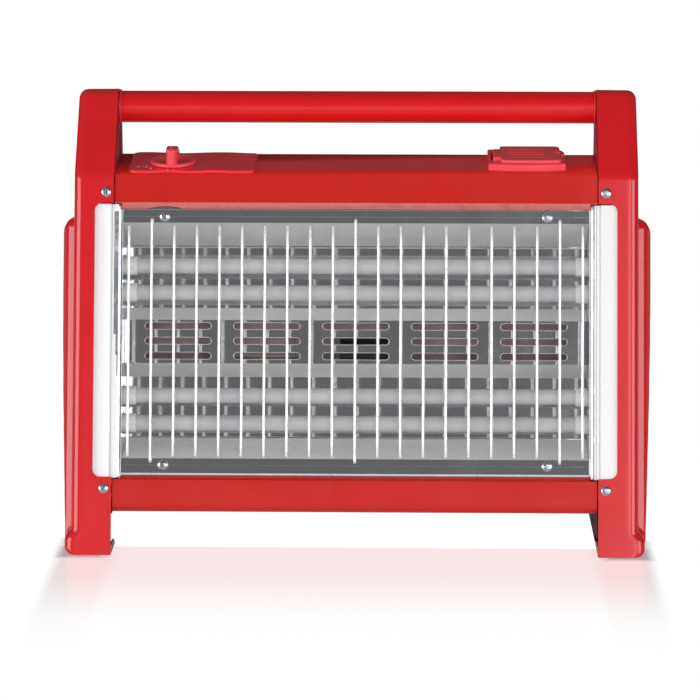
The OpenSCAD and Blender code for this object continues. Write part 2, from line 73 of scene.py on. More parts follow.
def B(x, y, z):
    """x across, y behind the front foot line, z up (mm) -> metres."""
    return Vector((x, y - 75.0, z)) / 1000.0


# ------------------------------------------------------------------ materials
def shader(name):
    m = bpy.data.materials.new(name)
    m.use_nodes = True
    nt = m.node_tree
    bsdf = next(n for n in nt.nodes if n.type == "BSDF_PRINCIPLED")
    return m, nt, bsdf


def node(nt, kind, **values):
    n = nt.nodes.new(kind)
    for k, v in values.items():
        if k in n.inputs:
            n.inputs[k].default_value = v
        else:
            setattr(n, k, v)
    return n


def coords(nt, stretch=(1, 1, 1), turn=(0, 0, 0)):
    tc = nt.nodes.new("ShaderNodeTexCoord")
    mp = nt.nodes.new("ShaderNodeMapping")
    mp.inputs["Scale"].default_value = stretch
    mp.inputs["Rotation"].default_value = turn
    nt.links.new(tc.outputs["Object"], mp.inputs["Vector"])
    return mp.outputs["Vector"]


def noise(nt, vec, scale, detail=4.0, rough=0.55):
    n = nt.nodes.new("ShaderNodeTexNoise")
    n.inputs["Scale"].default_value = scale
    n.inputs["Detail"].default_value = detail
    n.inputs["Roughness"].default_value = rough
    nt.links.new(vec, n.inputs["Vector"])
    return n.outputs["Fac"]


def spread(nt, fac, lo, hi, a=0.3, b=0.7):
    n = nt.nodes.new("ShaderNodeMapRange")
    n.inputs["From Min"].default_value = a
    n.inputs["From Max"].default_value = b
    n.inputs["To Min"].default_value = lo
    n.inputs["To Max"].default_value = hi
    nt.links.new(fac, n.inputs["Value"])
    return n.outputs["Result"]


def blend(nt, fac, c1, c2):
    n = nt.nodes.new("ShaderNodeMix")
    n.data_type = "RGBA"
    nt.links.new(fac, n.inputs[0])
    for sock, c in ((n.inputs[6], c1), (n.inputs[7], c2)):
        if hasattr(c, "is_linked") or hasattr(c, "links"):
            nt.links.new(c, sock)
        else:
            sock.default_value = (*c[:3], 1.0)
    return n.outputs[2]


def tint(c, k):
    return tuple(min(1.0, max(0.0, v * k)) for v in c[:3])


def surface(name, color, rough, metal=0.0, rough_var=0.05, tone=0.04, tone_scale=18.0,
            rough_scale=45.0, bumps=((260.0, 0.10, 0.02),), coat=0.0, coat_rough=0.04, spec=0.5,
            ior=1.5, stretch=(1, 1, 1), trans=0.0, specks=0.0, speck_color=(0.9, 0.88, 0.85),
            second=None, second_amount=0.0, second_scale=70.0, sheen=0.0, aniso=0.0):
    m, nt, b = shader(name)
    vec = coords(nt, stretch)
    col = blend(nt, spread(nt, noise(nt, vec, tone_scale), 0.0, 1.0), tint(color, 1 - tone), tint(color, 1 + tone))
    if second is not None:
        f = spread(nt, noise(nt, vec, second_scale, 6.0, 0.65), 0.0, second_amount, 0.52, 0.68)
        col = blend(nt, f, col, second)
    if specks > 0:
        v = nt.nodes.new("ShaderNodeTexVoronoi")
        v.inputs["Scale"].default_value = 190.0
        nt.links.new(vec, v.inputs["Vector"])
        f = spread(nt, v.outputs["Distance"], specks, 0.0, 0.02, 0.07)
        gate = spread(nt, noise(nt, vec, 31.0, 2.0), 0.0, 1.0, 0.58, 0.62)
        mul = nt.nodes.new("ShaderNodeMath")
        mul.operation = "MULTIPLY"
        nt.links.new(f, mul.inputs[0])
        nt.links.new(gate, mul.inputs[1])
        col = blend(nt, mul.outputs[0], col, speck_color)
    nt.links.new(col, b.inputs["Base Color"])
    r = spread(nt, noise(nt, vec, rough_scale, 5.0, 0.6), max(0.0, rough - rough_var), min(1.0, rough + rough_var))
    nt.links.new(r, b.inputs["Roughness"])
    b.inputs["Metallic"].default_value = metal
    b.inputs["Specular IOR Level"].default_value = spec
    b.inputs["IOR"].default_value = ior
    b.inputs["Coat Weight"].default_value = coat
    b.inputs["Coat Roughness"].default_value = coat_rough
    b.inputs["Transmission Weight"].default_value = trans
    b.inputs["Sheen Weight"].default_value = sheen
    b.inputs["Anisotropic"].default_value = aniso
    normal = None
    for scale, strength, mm in bumps:
        bp = nt.nodes.new("ShaderNodeBump")
        bp.inputs["Strength"].default_value = strength
        bp.inputs["Distance"].default_value = mm / 1000.0
        nt.links.new(noise(nt, vec, scale, 3.0), bp.inputs["Height"])
        if normal is not None:
            nt.links.new(normal, bp.inputs["Normal"])
        normal = bp.outputs["Normal"]
    if normal is not None:
        nt.links.new(normal, b.inputs["Normal"])
    return m


def lin(r, g, b):
    def f(v):
        v /= 255.0
        return v / 12.92 if v <= 0.04045 else ((v + 0.055) / 1.055) ** 2.4
    return (f(r), f(g), f(b))


M = {}
M["panel"] = surface("gloss_red_moulding", (0.73, 0.014, 0.018), 0.17, rough_var=0.03, tone=0.03,
                     bumps=((5.0, 0.10, 0.30), (420.0, 0.05, 0.010)), coat=0.25, coat_rough=0.08, specks=0.10)
# painted shade: the end frames take the casing's red made darker, standing for the shade they sit in
M["frame"] = surface("frame_red_painted_shade", (0.37, 0.018, 0.030), 0.38, tone=0.06, spec=0.2,
                     bumps=((600.0, 0.15, 0.015),), second=(0.24, 0.014, 0.024), second_amount=0.5)
M["casing"] = surface("satin_red_powder_coat", (0.63, 0.019, 0.0125), 0.11, rough_var=0.03, tone=0.03,
                      bumps=((900.0, 0.12, 0.010),), coat=0.0, coat_rough=0.12, specks=0.12)
# painted reflection: the lip's red is mixed towards pink, standing for the glare of the floor on it
M["lip"] = surface("red_lip_painted_pink_reflection", (0.78, 0.20, 0.17), 0.28, rough_var=0.06, tone=0.05, tone_scale=30.0,
                   bumps=((900.0, 0.16, 0.012),), coat=0.3, coat_rough=0.15, second=(0.58, 0.13, 0.11), second_amount=0.5)
M["handle"] = surface("gloss_red_tube_paint", (0.76, 0.011, 0.013), 0.16, rough_var=0.04, tone=0.03,
                      bumps=((700.0, 0.08, 0.01),), coat=0.0, coat_rough=0.10, specks=0.1)
M["plastic"] = surface("red_control_plastic", (0.99, 0.034, 0.055), 0.20, rough_var=0.04, tone=0.04,
                       bumps=((1100.0, 0.14, 0.010),), coat=0.1, coat_rough=0.12, specks=0.2)
M["knob"] = surface("pink_red_knob_plastic", (0.97, 0.085, 0.105), 0.22, rough_var=0.04, tone=0.04,
                    bumps=((1100.0, 0.14, 0.010),), coat=0.1, coat_rough=0.12, specks=0.15)
# painted light: the casing's upward faces get a lighter red than the rest of the casing, for the light falling on them
M["roof"] = surface("red_powder_coat_top_painted_lighter", (0.93, 0.040, 0.026), 0.17, rough_var=0.03, tone=0.03,
                    bumps=((900.0, 0.12, 0.010),), coat=0.0, coat_rough=0.12, specks=0.12)
M["frame_low"] = surface("frame_red_painted_shade_darker_low", (0.37, 0.018, 0.030), 0.42, tone=0.06, spec=0.12,
                         bumps=((600.0, 0.15, 0.015),), second=(0.24, 0.014, 0.024), second_amount=0.5)
# painted shade: this copy fades to near black below 28-40 mm up, where the right frame lies in shade
nt_ = M["frame_low"].node_tree
bs_ = next(n for n in nt_.nodes if n.type == "BSDF_PRINCIPLED")
src_ = bs_.inputs["Base Color"].links[0].from_socket
tc_ = nt_.nodes.new("ShaderNodeTexCoord")
sx_ = nt_.nodes.new("ShaderNodeSeparateXYZ")
nt_.links.new(tc_.outputs["Object"], sx_.inputs[0])
painted_shade_ramp_ = nt_.nodes.new("ShaderNodeMapRange")
painted_shade_ramp_.interpolation_type = "SMOOTHSTEP"
for k_, v_ in (("From Min", 0.028), ("From Max", 0.040), ("To Min", 0.0), ("To Max", 1.0)):
    painted_shade_ramp_.inputs[k_].default_value = v_
nt_.links.new(sx_.outputs[2], painted_shade_ramp_.inputs["Value"])
nt_.links.new(blend(nt_, painted_shade_ramp_.outputs["Result"], (0.055, 0.006, 0.009), src_), bs_.inputs["Base Color"])
M["mirror"] = surface("polished_sheet", (0.84, 0.85, 0.87), 0.075, metal=1.0, rough_var=0.03, tone=0.03, rough_scale=20.0,
                      bumps=((4.0, 0.10, 0.22),), second=(0.74, 0.75, 0.77), second_amount=0.4, second_scale=240.0)
# painted reflection: a dark grey strip with white blotches, standing for what a polished strip mirrors
M["strip"] = surface("polished_strip_painted_reflections", (0.27, 0.275, 0.29), 0.28, metal=0.2, rough_var=0.09, tone=0.15, tone_scale=60.0,
                     rough_scale=60.0, bumps=((70.0, 0.6, 0.35), (260.0, 0.3, 0.06)), second=(0.92, 0.92, 0.92), second_amount=0.9,
                     second_scale=38.0)
# painted reflection: the reflector's sloping sides are a pale satin instead of the polished sheet, standing for the
# tubes mirrored in them; the upward-facing ones are painted whiter
M["slope"] = surface("bright_sheet_painted_tube_reflection", (0.86, 0.86, 0.835), 0.33, metal=0.35, rough_var=0.05, tone=0.04, rough_scale=20.0,
                     bumps=((5.0, 0.10, 0.20),), second=(0.74, 0.75, 0.74), second_amount=0.4, second_scale=60.0)
M["slope_up"] = surface("bright_sheet_upturned_painted_reflection", (0.98, 0.985, 0.97), 0.36, metal=0.05, rough_var=0.05, tone=0.03, rough_scale=20.0,
                        bumps=((5.0, 0.10, 0.20),), second=(0.88, 0.89, 0.88), second_amount=0.4, second_scale=60.0)
# painted highlight: the rolled hem along the reflector's lower edge is a pale bluish white, standing for the bright
# line of light along it
M["hem"] = surface("rolled_hem_painted_highlight", (0.80, 0.86, 0.88), 0.30, metal=0.25, tone=0.04, tone_scale=60.0, bumps=((300.0, 0.12, 0.02),))
# painted shade: a grey for the side plate's groove and one stripe on the right plate, standing for the shade there
M["groove"] = surface("groove_painted_shade_grey", (0.62, 0.63, 0.65), 0.40, tone=0.05, tone_scale=60.0, bumps=((300.0, 0.12, 0.02),))
M["white"] = surface("white_gloss_enamel", (0.985, 0.985, 0.98), 0.24, rough_var=0.05, tone=0.012,
                     bumps=((16.0, 0.10, 0.2), (800.0, 0.1, 0.01)), coat=0.3, coat_rough=0.1)
M["wire"] = surface("bright_plated_wire", (0.95, 0.95, 0.93), 0.26, metal=0.35, rough_var=0.05, tone=0.03,
                    tone_scale=160.0, bumps=((500.0, 0.08, 0.01),))
M["crosswire"] = surface("bright_plated_cross_wire", (0.86, 0.87, 0.89), 0.16, metal=1.0, rough_var=0.05, tone=0.03,
                         tone_scale=160.0, bumps=((500.0, 0.08, 0.01),))
# painted shade and haze: a desaturated pale red for the red-painted inside of the rear cover, standing for how it
# looks in shade
M["primer"] = surface("thin_primer_on_the_inside", (0.66, 0.46, 0.46), 0.55, rough_var=0.08, tone=0.12,
                      tone_scale=60.0, bumps=((700.0, 0.25, 0.02),))
M["ceramic"] = surface("unglazed_ceramic", lin(240, 238, 234), 0.55, tone=0.03, tone_scale=120.0,
                       bumps=((1400.0, 0.3, 0.03),), specks=0.25, speck_color=lin(214, 204, 190))
M["zinc"] = surface("bright_zinc_plate", (0.78, 0.83, 0.90), 0.24, metal=1.0, rough_var=0.08, tone=0.08,
                    tone_scale=240.0, bumps=((420.0, 0.25, 0.05),), second=(0.66, 0.66, 0.58), second_amount=0.3,
                    second_scale=300.0)
M["brass"] = surface("plain_brass", (0.74, 0.56, 0.26), 0.28, metal=1.0, rough_var=0.10, tone=0.08,
                     tone_scale=200.0, bumps=((600.0, 0.2, 0.03),), second=(0.42, 0.28, 0.12), second_amount=0.5)
M["black"] = surface("black_moulding", lin(30, 30, 32), 0.45, tone=0.08, bumps=((1300.0, 0.3, 0.02),))
M["dark"] = surface("dark_moulding", lin(52, 52, 56), 0.42, tone=0.08, bumps=((1300.0, 0.3, 0.02),))
M["pale"] = surface("pale_moulding", lin(226, 224, 214), 0.45, tone=0.03, bumps=((1100.0, 0.25, 0.02),),
                    specks=0.2, speck_color=lin(190, 182, 168))
M["tank"] = surface("milky_tank_plastic", lin(224, 226, 224), 0.40, tone=0.03, trans=0.15,
                    bumps=((40.0, 0.1, 0.2), (900.0, 0.2, 0.015)))
M["sleeve"] = surface("silicone_sleeve", lin(226, 222, 210), 0.60, tone=0.05, tone_scale=90.0,
                      bumps=((700.0, 0.4, 0.04),))
M["coil"] = surface("oxidised_resistance_wire", (0.30, 0.28, 0.27), 0.45, metal=0.8, rough_var=0.12, tone=0.2,
                    tone_scale=300.0, bumps=((900.0, 0.3, 0.02),))
M["ink"] = surface("pale_ink", lin(236, 196, 206), 0.5, tone=0.04, tone_scale=300.0, bumps=((900.0, 0.2, 0.01),))


def quartz_material():
    m, nt, b = shader("milky_quartz")
    vec = coords(nt, (1, 1, 1))
    streak = coords(nt, (1.0, 0.25, 0.25))
    f = spread(nt, noise(nt, streak, 42.0, 3.0, 0.5), 0.0, 1.0, 0.35, 0.68)
    col = blend(nt, f, (0.80, 0.81, 0.83), (0.90, 0.90, 0.91))
    nt.links.new(col, b.inputs["Base Color"])
    nt.links.new(spread(nt, noise(nt, vec, 60.0, 4.0), 0.42, 0.54), b.inputs["Roughness"])
    b.inputs["IOR"].default_value = 1.46
    b.inputs["Transmission Weight"].default_value = 0.5
    bp = nt.nodes.new("ShaderNodeBump")
    bp.inputs["Strength"].default_value = 0.10
    bp.inputs["Distance"].default_value = 0.00003
    nt.links.new(noise(nt, streak, 90.0, 2.0), bp.inputs["Height"])
    nt.links.new(bp.outputs["Normal"], b.inputs["Normal"])
    return m


M["quartz"] = quartz_material()

# ------------------------------------------------------------------ mesh helpers


def apply_mods(o):
    dg = bpy.context.evaluated_depsgraph_get()
    dg.update()
    me = bpy.data.meshes.new_from_object(o.evaluated_get(dg), preserve_all_data_layers=True, depsgraph=dg)
    old = o.data
    o.modifiers.clear()
    o.data = me
    bpy.data.meshes.remove(old)
    return o


def smooth(o, angle=35.0):
    me = o.data
    me.shade_smooth()
    me.set_sharp_from_angle(angle=math.radians(angle))
    return o


def raw(name, verts, faces, mats, index=None):
    me = bpy.data.meshes.new(name)
    me.from_pydata([tuple(v) for v in verts], [], [tuple(f) for f in faces])
    me.validate()
    o = bpy.data.objects.new(name, me)
    scene.collection.objects.link(o)
    for m in (mats if isinstance(mats, (list, tuple)) else [mats]):
        me.materials.append(m)
    if index is not None:
        for p, i in zip(me.polygons, index):
            p.material_index = i
    return o


def fix_normals(o):
    bm = bmesh.new()
    bm.from_mesh(o.data)
    bmesh.ops.remove_doubles(bm, verts=bm.verts, dist=1e-7)
    bmesh.ops.recalc_face_normals(bm, faces=bm.faces)
    bm.to_mesh(o.data)
    bm.free()
    return o


def bevelled(o, mm, segments=2, limit=30.0, profile=0.5):
    md = o.modifiers.new("edge", "BEVEL")
    md.width = mm / 1000.0
    md.segments = segments
    md.limit_method = "ANGLE"
    md.angle_limit = math.radians(limit)
    md.profile = profile
    md.use_clamp_overlap = True
    return apply_mods(o)


def weighted(o):
    md = o.modifiers.new("wn", "WEIGHTED_NORMAL")
    md.keep_sharp = True
    return apply_mods(o)


def place(o, body, slot, *nodes_):
    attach(o, body)
    if nodes_:
        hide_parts(*nodes_)
    return o


def joined(objs, name):
    objs = [o for o in objs if o is not None]
    base = objs[0]
    bm = bmesh.new()
    mats = []
    for o in objs:
        remap = []
        for m in o.data.materials:
            if m not in mats:
                mats.append(m)
            remap.append(mats.index(m))
        me = o.data.copy()
        me.transform(o.matrix_world)
        for p in me.polygons:
            p.material_index = remap[p.material_index] if remap else 0
        bm.from_mesh(me)
        bpy.data.meshes.remove(me)
    me = bpy.data.meshes.new(name)
    bm.to_mesh(me)
    bm.free()
    for m in mats:
        me.materials.append(m)
    out = bpy.data.objects.new(name, me)
    scene.collection.objects.link(out)
    for o in objs:
        bpy.data.objects.remove(o)
    return out


def from_cad(name, cad, mm, mats, limit=30.0, segments=2, angle=35.0):
    """A copy of a CAD node's mesh with its flat triangles merged and its edges rounded."""
    src = NODES[cad]
    bm = bmesh.new()
    bm.from_mesh(src.data)
    bmesh.ops.remove_doubles(bm, verts=bm.verts, dist=2e-6)
    bmesh.ops.dissolve_limit(bm, angle_limit=math.radians(0.6), verts=bm.verts, edges=bm.edges,
                             delimit={"NORMAL"})
    me = bpy.data.meshes.new(name)
    bm.to_mesh(me)
    bm.free()
    me.materials.clear()
    for m in (mats if isinstance(mats, (list, tuple)) else [mats]):
        me.materials.append(m)
    for p in me.polygons:
        p.material_index = 0
    o = bpy.data.objects.new(name, me)
    scene.collection.objects.link(o)
    if mm > 0:
        bevelled(o, mm, segments, limit)
    smooth(o, angle)
    return weighted(o)


def fillet(pts, radii, seg=6):
    """A closed outline with its corners rounded."""
    out = []
    n = len(pts)
    for i in range(n):
        a, b, c = Vector(pts[i - 1]), Vector(pts[i]), Vector(pts[(i + 1) % n])
        r = radii[i] if isinstance(radii, (list, tuple)) else radii
        u, w = (a - b), (c - b)
        lu, lw = u.length, w.length
        if r <= 0 or lu < 1e-9 or lw < 1e-9:
            out.append(tuple(b))
            continue
        u.normalize()
        w.normalize()
        ang = math.acos(max(-1, min(1, u.dot(w))))
        if ang > math.radians(178):
            out.append(tuple(b))
            continue
        cut = min(r / math.tan(ang / 2), lu * 0.49, lw * 0.49)
        r2 = cut * math.tan(ang / 2)
        mid = (u + w).normalized() * (r2 / math.sin(ang / 2)) + b
        p1, p2 = b + u * cut, b + w * cut
        a1 = math.atan2(p1.y - mid.y, p1.x - mid.x)
        a2 = math.atan2(p2.y - mid.y, p2.x - mid.x)
        da = (a2 - a1 + math.pi) % (2 * math.pi) - math.pi
        for k in range(seg + 1):
            q = a1 + da * k / seg
            out.append((mid.x + r2 * math.cos(q), mid.y + r2 * math.sin(q)))
    return out


def shrink(pts, g):
    """A closed outline moved inwards by g."""
    n = len(pts)
    area = sum(pts[i - 1][0] * pts[i][1] - pts[i][0] * pts[i - 1][1] for i in range(n))
    sgn = 1.0 if area > 0 else -1.0
    out = []
    for i in range(n):
        a, b, c = Vector(pts[i - 1]), Vector(pts[i]), Vector(pts[(i + 1) % n])
        u, w = (b - a), (c - b)
        if u.length < 1e-9:
            u = w
        if w.length < 1e-9:
            w = u
        u.normalize()
        w.normalize()
        n1, n2 = Vector((-u.y, u.x)), Vector((-w.y, w.x))
        k = n1 + n2
        k = k / max(0.35, 1 + n1.dot(n2))
        out.append((b.x + sgn * g * k.x, b.y + sgn * g * k.y))
    return out


def slab(name, outline, rings, place_fn, mat, caps=(True, True)):
    """A solid from an outline: rings is a list of (height, inset)."""
    verts, faces = [], []
    n = len(outline)
    for h, g in rings:
        pts = shrink(outline, g) if abs(g) > 1e-9 else outline
        verts += [place_fn(p[0], p[1], h) for p in pts]
    for k in range(len(rings) - 1):
        for i in range(n):
            j = (i + 1) % n
            faces.append((k * n + i, k * n + j, (k + 1) * n + j, (k + 1) * n + i))
    if caps[0]:
        faces.append(tuple(range(n - 1, -1, -1)))
    if caps[1]:
        faces.append(tuple(range((len(rings) - 1) * n, len(rings) * n)))
    o = raw(name, verts, faces, mat)
    return fix_normals(o)


def round_rings(h0, h1, r0, r1, seg=4):
    """Rings of a slab with a rounded lower edge r0 and a rounded upper edge r1."""
    out = []
    if r0 > 0:
        out += [(h0 + r0 * (1 - math.cos(a)), r0 * (1 - math.sin(a)))
                for a in [math.pi / 2 * k / seg for k in range(seg + 1)]]
    else:
        out.append((h0, 0.0))
    if r1 > 0:
        out += [(h1 - r1 * (1 - math.sin(a)), r1 * (1 - math.cos(a)))
                for a in [math.pi / 2 * k / seg for k in range(seg + 1)]]
    else:
        out.append((h1, 0.0))
    return out


def axes(a):
    a = Vector(a).normalized()
    u = a.cross(Vector((0, 0, 1)))
    if u.length < 1e-4:
        u = a.cross(Vector((1, 0, 0)))
    u.normalize()
    return a, u, a.cross(u)


def lathe(name, origin, axis, profile, mat, seg=64, close=False, angle=35.0):
    """profile: (along axis in mm, radius in mm)."""
    a, u, v = axes(axis)
    verts, faces = [], []
    for h, r in profile:
        for k in range(seg):
            q = 2 * math.pi * k / seg
            verts.append(origin + (a * h + (u * math.cos(q) + v * math.sin(q)) * r) / 1000.0)
    n = len(profile)
    rows = n if close else n - 1
    for i in range(rows):
        j = (i + 1) % n
        for k in range(seg):
            l = (k + 1) % seg
            faces.append((i * seg + k, i * seg + l, j * seg + l, j * seg + k))
    if not close:
        if profile[0][1] > 1e-6:
            faces.append(tuple(range(seg - 1, -1, -1)))
        if profile[-1][1] > 1e-6:
            faces.append(tuple(range((n - 1) * seg, n * seg)))
    o = raw(name, verts, faces, mat)
    fix_normals(o)
    return smooth(o, angle)


def wire(name, pts, r, mat, seg=12, ends=True):
    """A round wire along points (metres), radius in mm, with rounded ends."""
    r = r / 1000.0
    rings = []
    n = len(pts)
    prev_u = None
    for i, p in enumerate(pts):
        t = (pts[min(i + 1, n - 1)] - pts[max(i - 1, 0)]).normalized()
        if prev_u is None:
            _, u, _ = axes(t)
        else:
            u = (prev_u - t * prev_u.dot(t)).normalized()
        prev_u = u
        v = t.cross(u)
        rings.append((p, t, u, v, r))
    out = []
    if ends:
        p, t, u, v, _ = rings[0]
        for a in (75, 50, 25):
            q = math.radians(a)
            out.append((p - t * r * math.sin(q) * 0.6, t, u, v, r * math.cos(q)))
    out += rings
    if ends:
        p, t, u, v, _ = rings[-1]
        for a in (25, 50, 75):
            q = math.radians(a)
            out.append((p + t * r * math.sin(q) * 0.6, t, u, v, r * math.cos(q)))
    verts, faces = [], []
    for p, t, u, v, rr in out:
        for k in range(seg):
            q = 2 * math.pi * k / seg
            verts.append(p + (u * math.cos(q) + v * math.sin(q)) * rr)
    for i in range(len(out) - 1):
        for k in range(seg):
            l = (k + 1) % seg
            faces.append((i * seg + k, i * seg + l, (i + 1) * seg + l, (i + 1) * seg + k))
    faces.append(tuple(range(seg - 1, -1, -1)))
    faces.append(tuple(range((len(out) - 1) * seg, len(out) * seg)))
    o = raw(name, verts, faces, mat)
    return smooth(o, 60)


def cut(o, cutters, op="DIFFERENCE"):
    for c in cutters:
        md = o.modifiers.new("cut", "BOOLEAN")
        md.operation = op
        md.solver = "EXACT"
        md.object = c
        apply_mods(o)
        bpy.data.objects.remove(c)
    return o


def mirrored(verts, faces):
    return [Vector((-v[0], v[1], v[2])) for v in verts], [tuple(reversed(f)) for f in faces]


# ------------------------------------------------------------------ side panels
IN_X, OUT_X, HT = 188.0, 219.2, 346.8


def outline_front():
    pts = [(0.0, 0.0), (72.57, 285.73), (117.6, 342.8), (121.4, 345.8), (127.0, 346.8), (140.0, 345.1)]
    out = [pts[0]]
    for i, r in ((1, 6.0), (2, 8.0), (3, 5.0), (4, 12.0)):
        a, b, c = Vector(pts[i - 1]), Vector(pts[i]), Vector(pts[i + 1])
        u, w = (a - b).normalized(), (c - b).normalized()
        ang = math.acos(u.dot(w))
        k = r / math.tan(ang / 2)
        mid = b + (u + w).normalized() * (r / math.sin(ang / 2))
        p1, p2 = b + u * k, b + w * k
        a1, a2 = math.atan2(p1.y - mid.y, p1.x - mid.x), math.atan2(p2.y - mid.y, p2.x - mid.x)
        da = (a2 - a1 + math.pi) % (2 * math.pi) - math.pi
        out += [(mid.x + r * math.cos(a1 + da * j / 16), mid.y + r * math.sin(a1 + da * j / 16)) for j in range(17)]
    peak = max(range(len(out)), key=lambda q: out[q][1])
    return out[:peak + 1]


FRONT = outline_front()
FZ = np.array([p[1] for p in FRONT])
FY = np.array([p[0] for p in FRONT])


def y_front(z):
    return float(np.interp(z, FZ, FY))


def top_inset(z, r):
    if z <= HT - r:
        return 0.0
    q = min(r, z - (HT - r))
    return r - math.sqrt(max(0.0, r * r - q * q))


def y_rear(z):
    return 150.0 - 6.0 * z / HT - top_inset(z, 7.0)


def flare(z):
    return float(np.interp(z, [0, 1, 2.2, 4.2, 10.4, 13, 15.2, 17.2, 20], [2.0, 3.0, 4.4, 5.0, 5.0, 4.2, 2.4, 0.5, 0.0]))


def swell(y, z):
    """Height of the outward swelling of the side wall above its flat face."""
    s, d = y * SL + z * CL, y * CL - z * SL
    a = d - 27.0
    b_ = min(265.6 - s, 248.7 - 0.16 * (y - 100.5) - z)
    c = 142.0 - y
    q = min(a, b_, c)
    if a < 9 and b_ < 9:
        q = min(q, 9 - math.hypot(9 - a, 9 - b_))
    if c < 12 and b_ < 12:
        q = min(q, 12 - math.hypot(12 - c, 12 - b_))
    h = float(np.interp(q, [-1.8, -1.2, -0.6, 0, 0.6, 1.2, 1.8, 2.6, 3.6, 5.4, 7.4, 9.6, 12.5],
                        [0, 0.35, 1.1, 2.3, 3.8, 5.1, 6.2, 7.3, 8.2, 9.3, 10.4, 11.3, 11.8]))
    v = float(np.interp(z, [0, 1, 1.8, 5, 52, 108, 150, 185], [0, 2.8, 5.2, 7.2, 8.6, 10.3, 11.2, 11.8]))
    return min(h, v)


def top_fall(x, y, z):
    """The crown of the panel falls a little to the rear and outwards."""
    k = min(1.0, max(0.0, (z - 330.0) / 16.7))
    k = k * k * (3 - 2 * k)
    return k * (2.8 * max(0.0, (y - 127.0) / 17.0) + 0.3 * max(0.0, (x - IN_X) / 31.2))


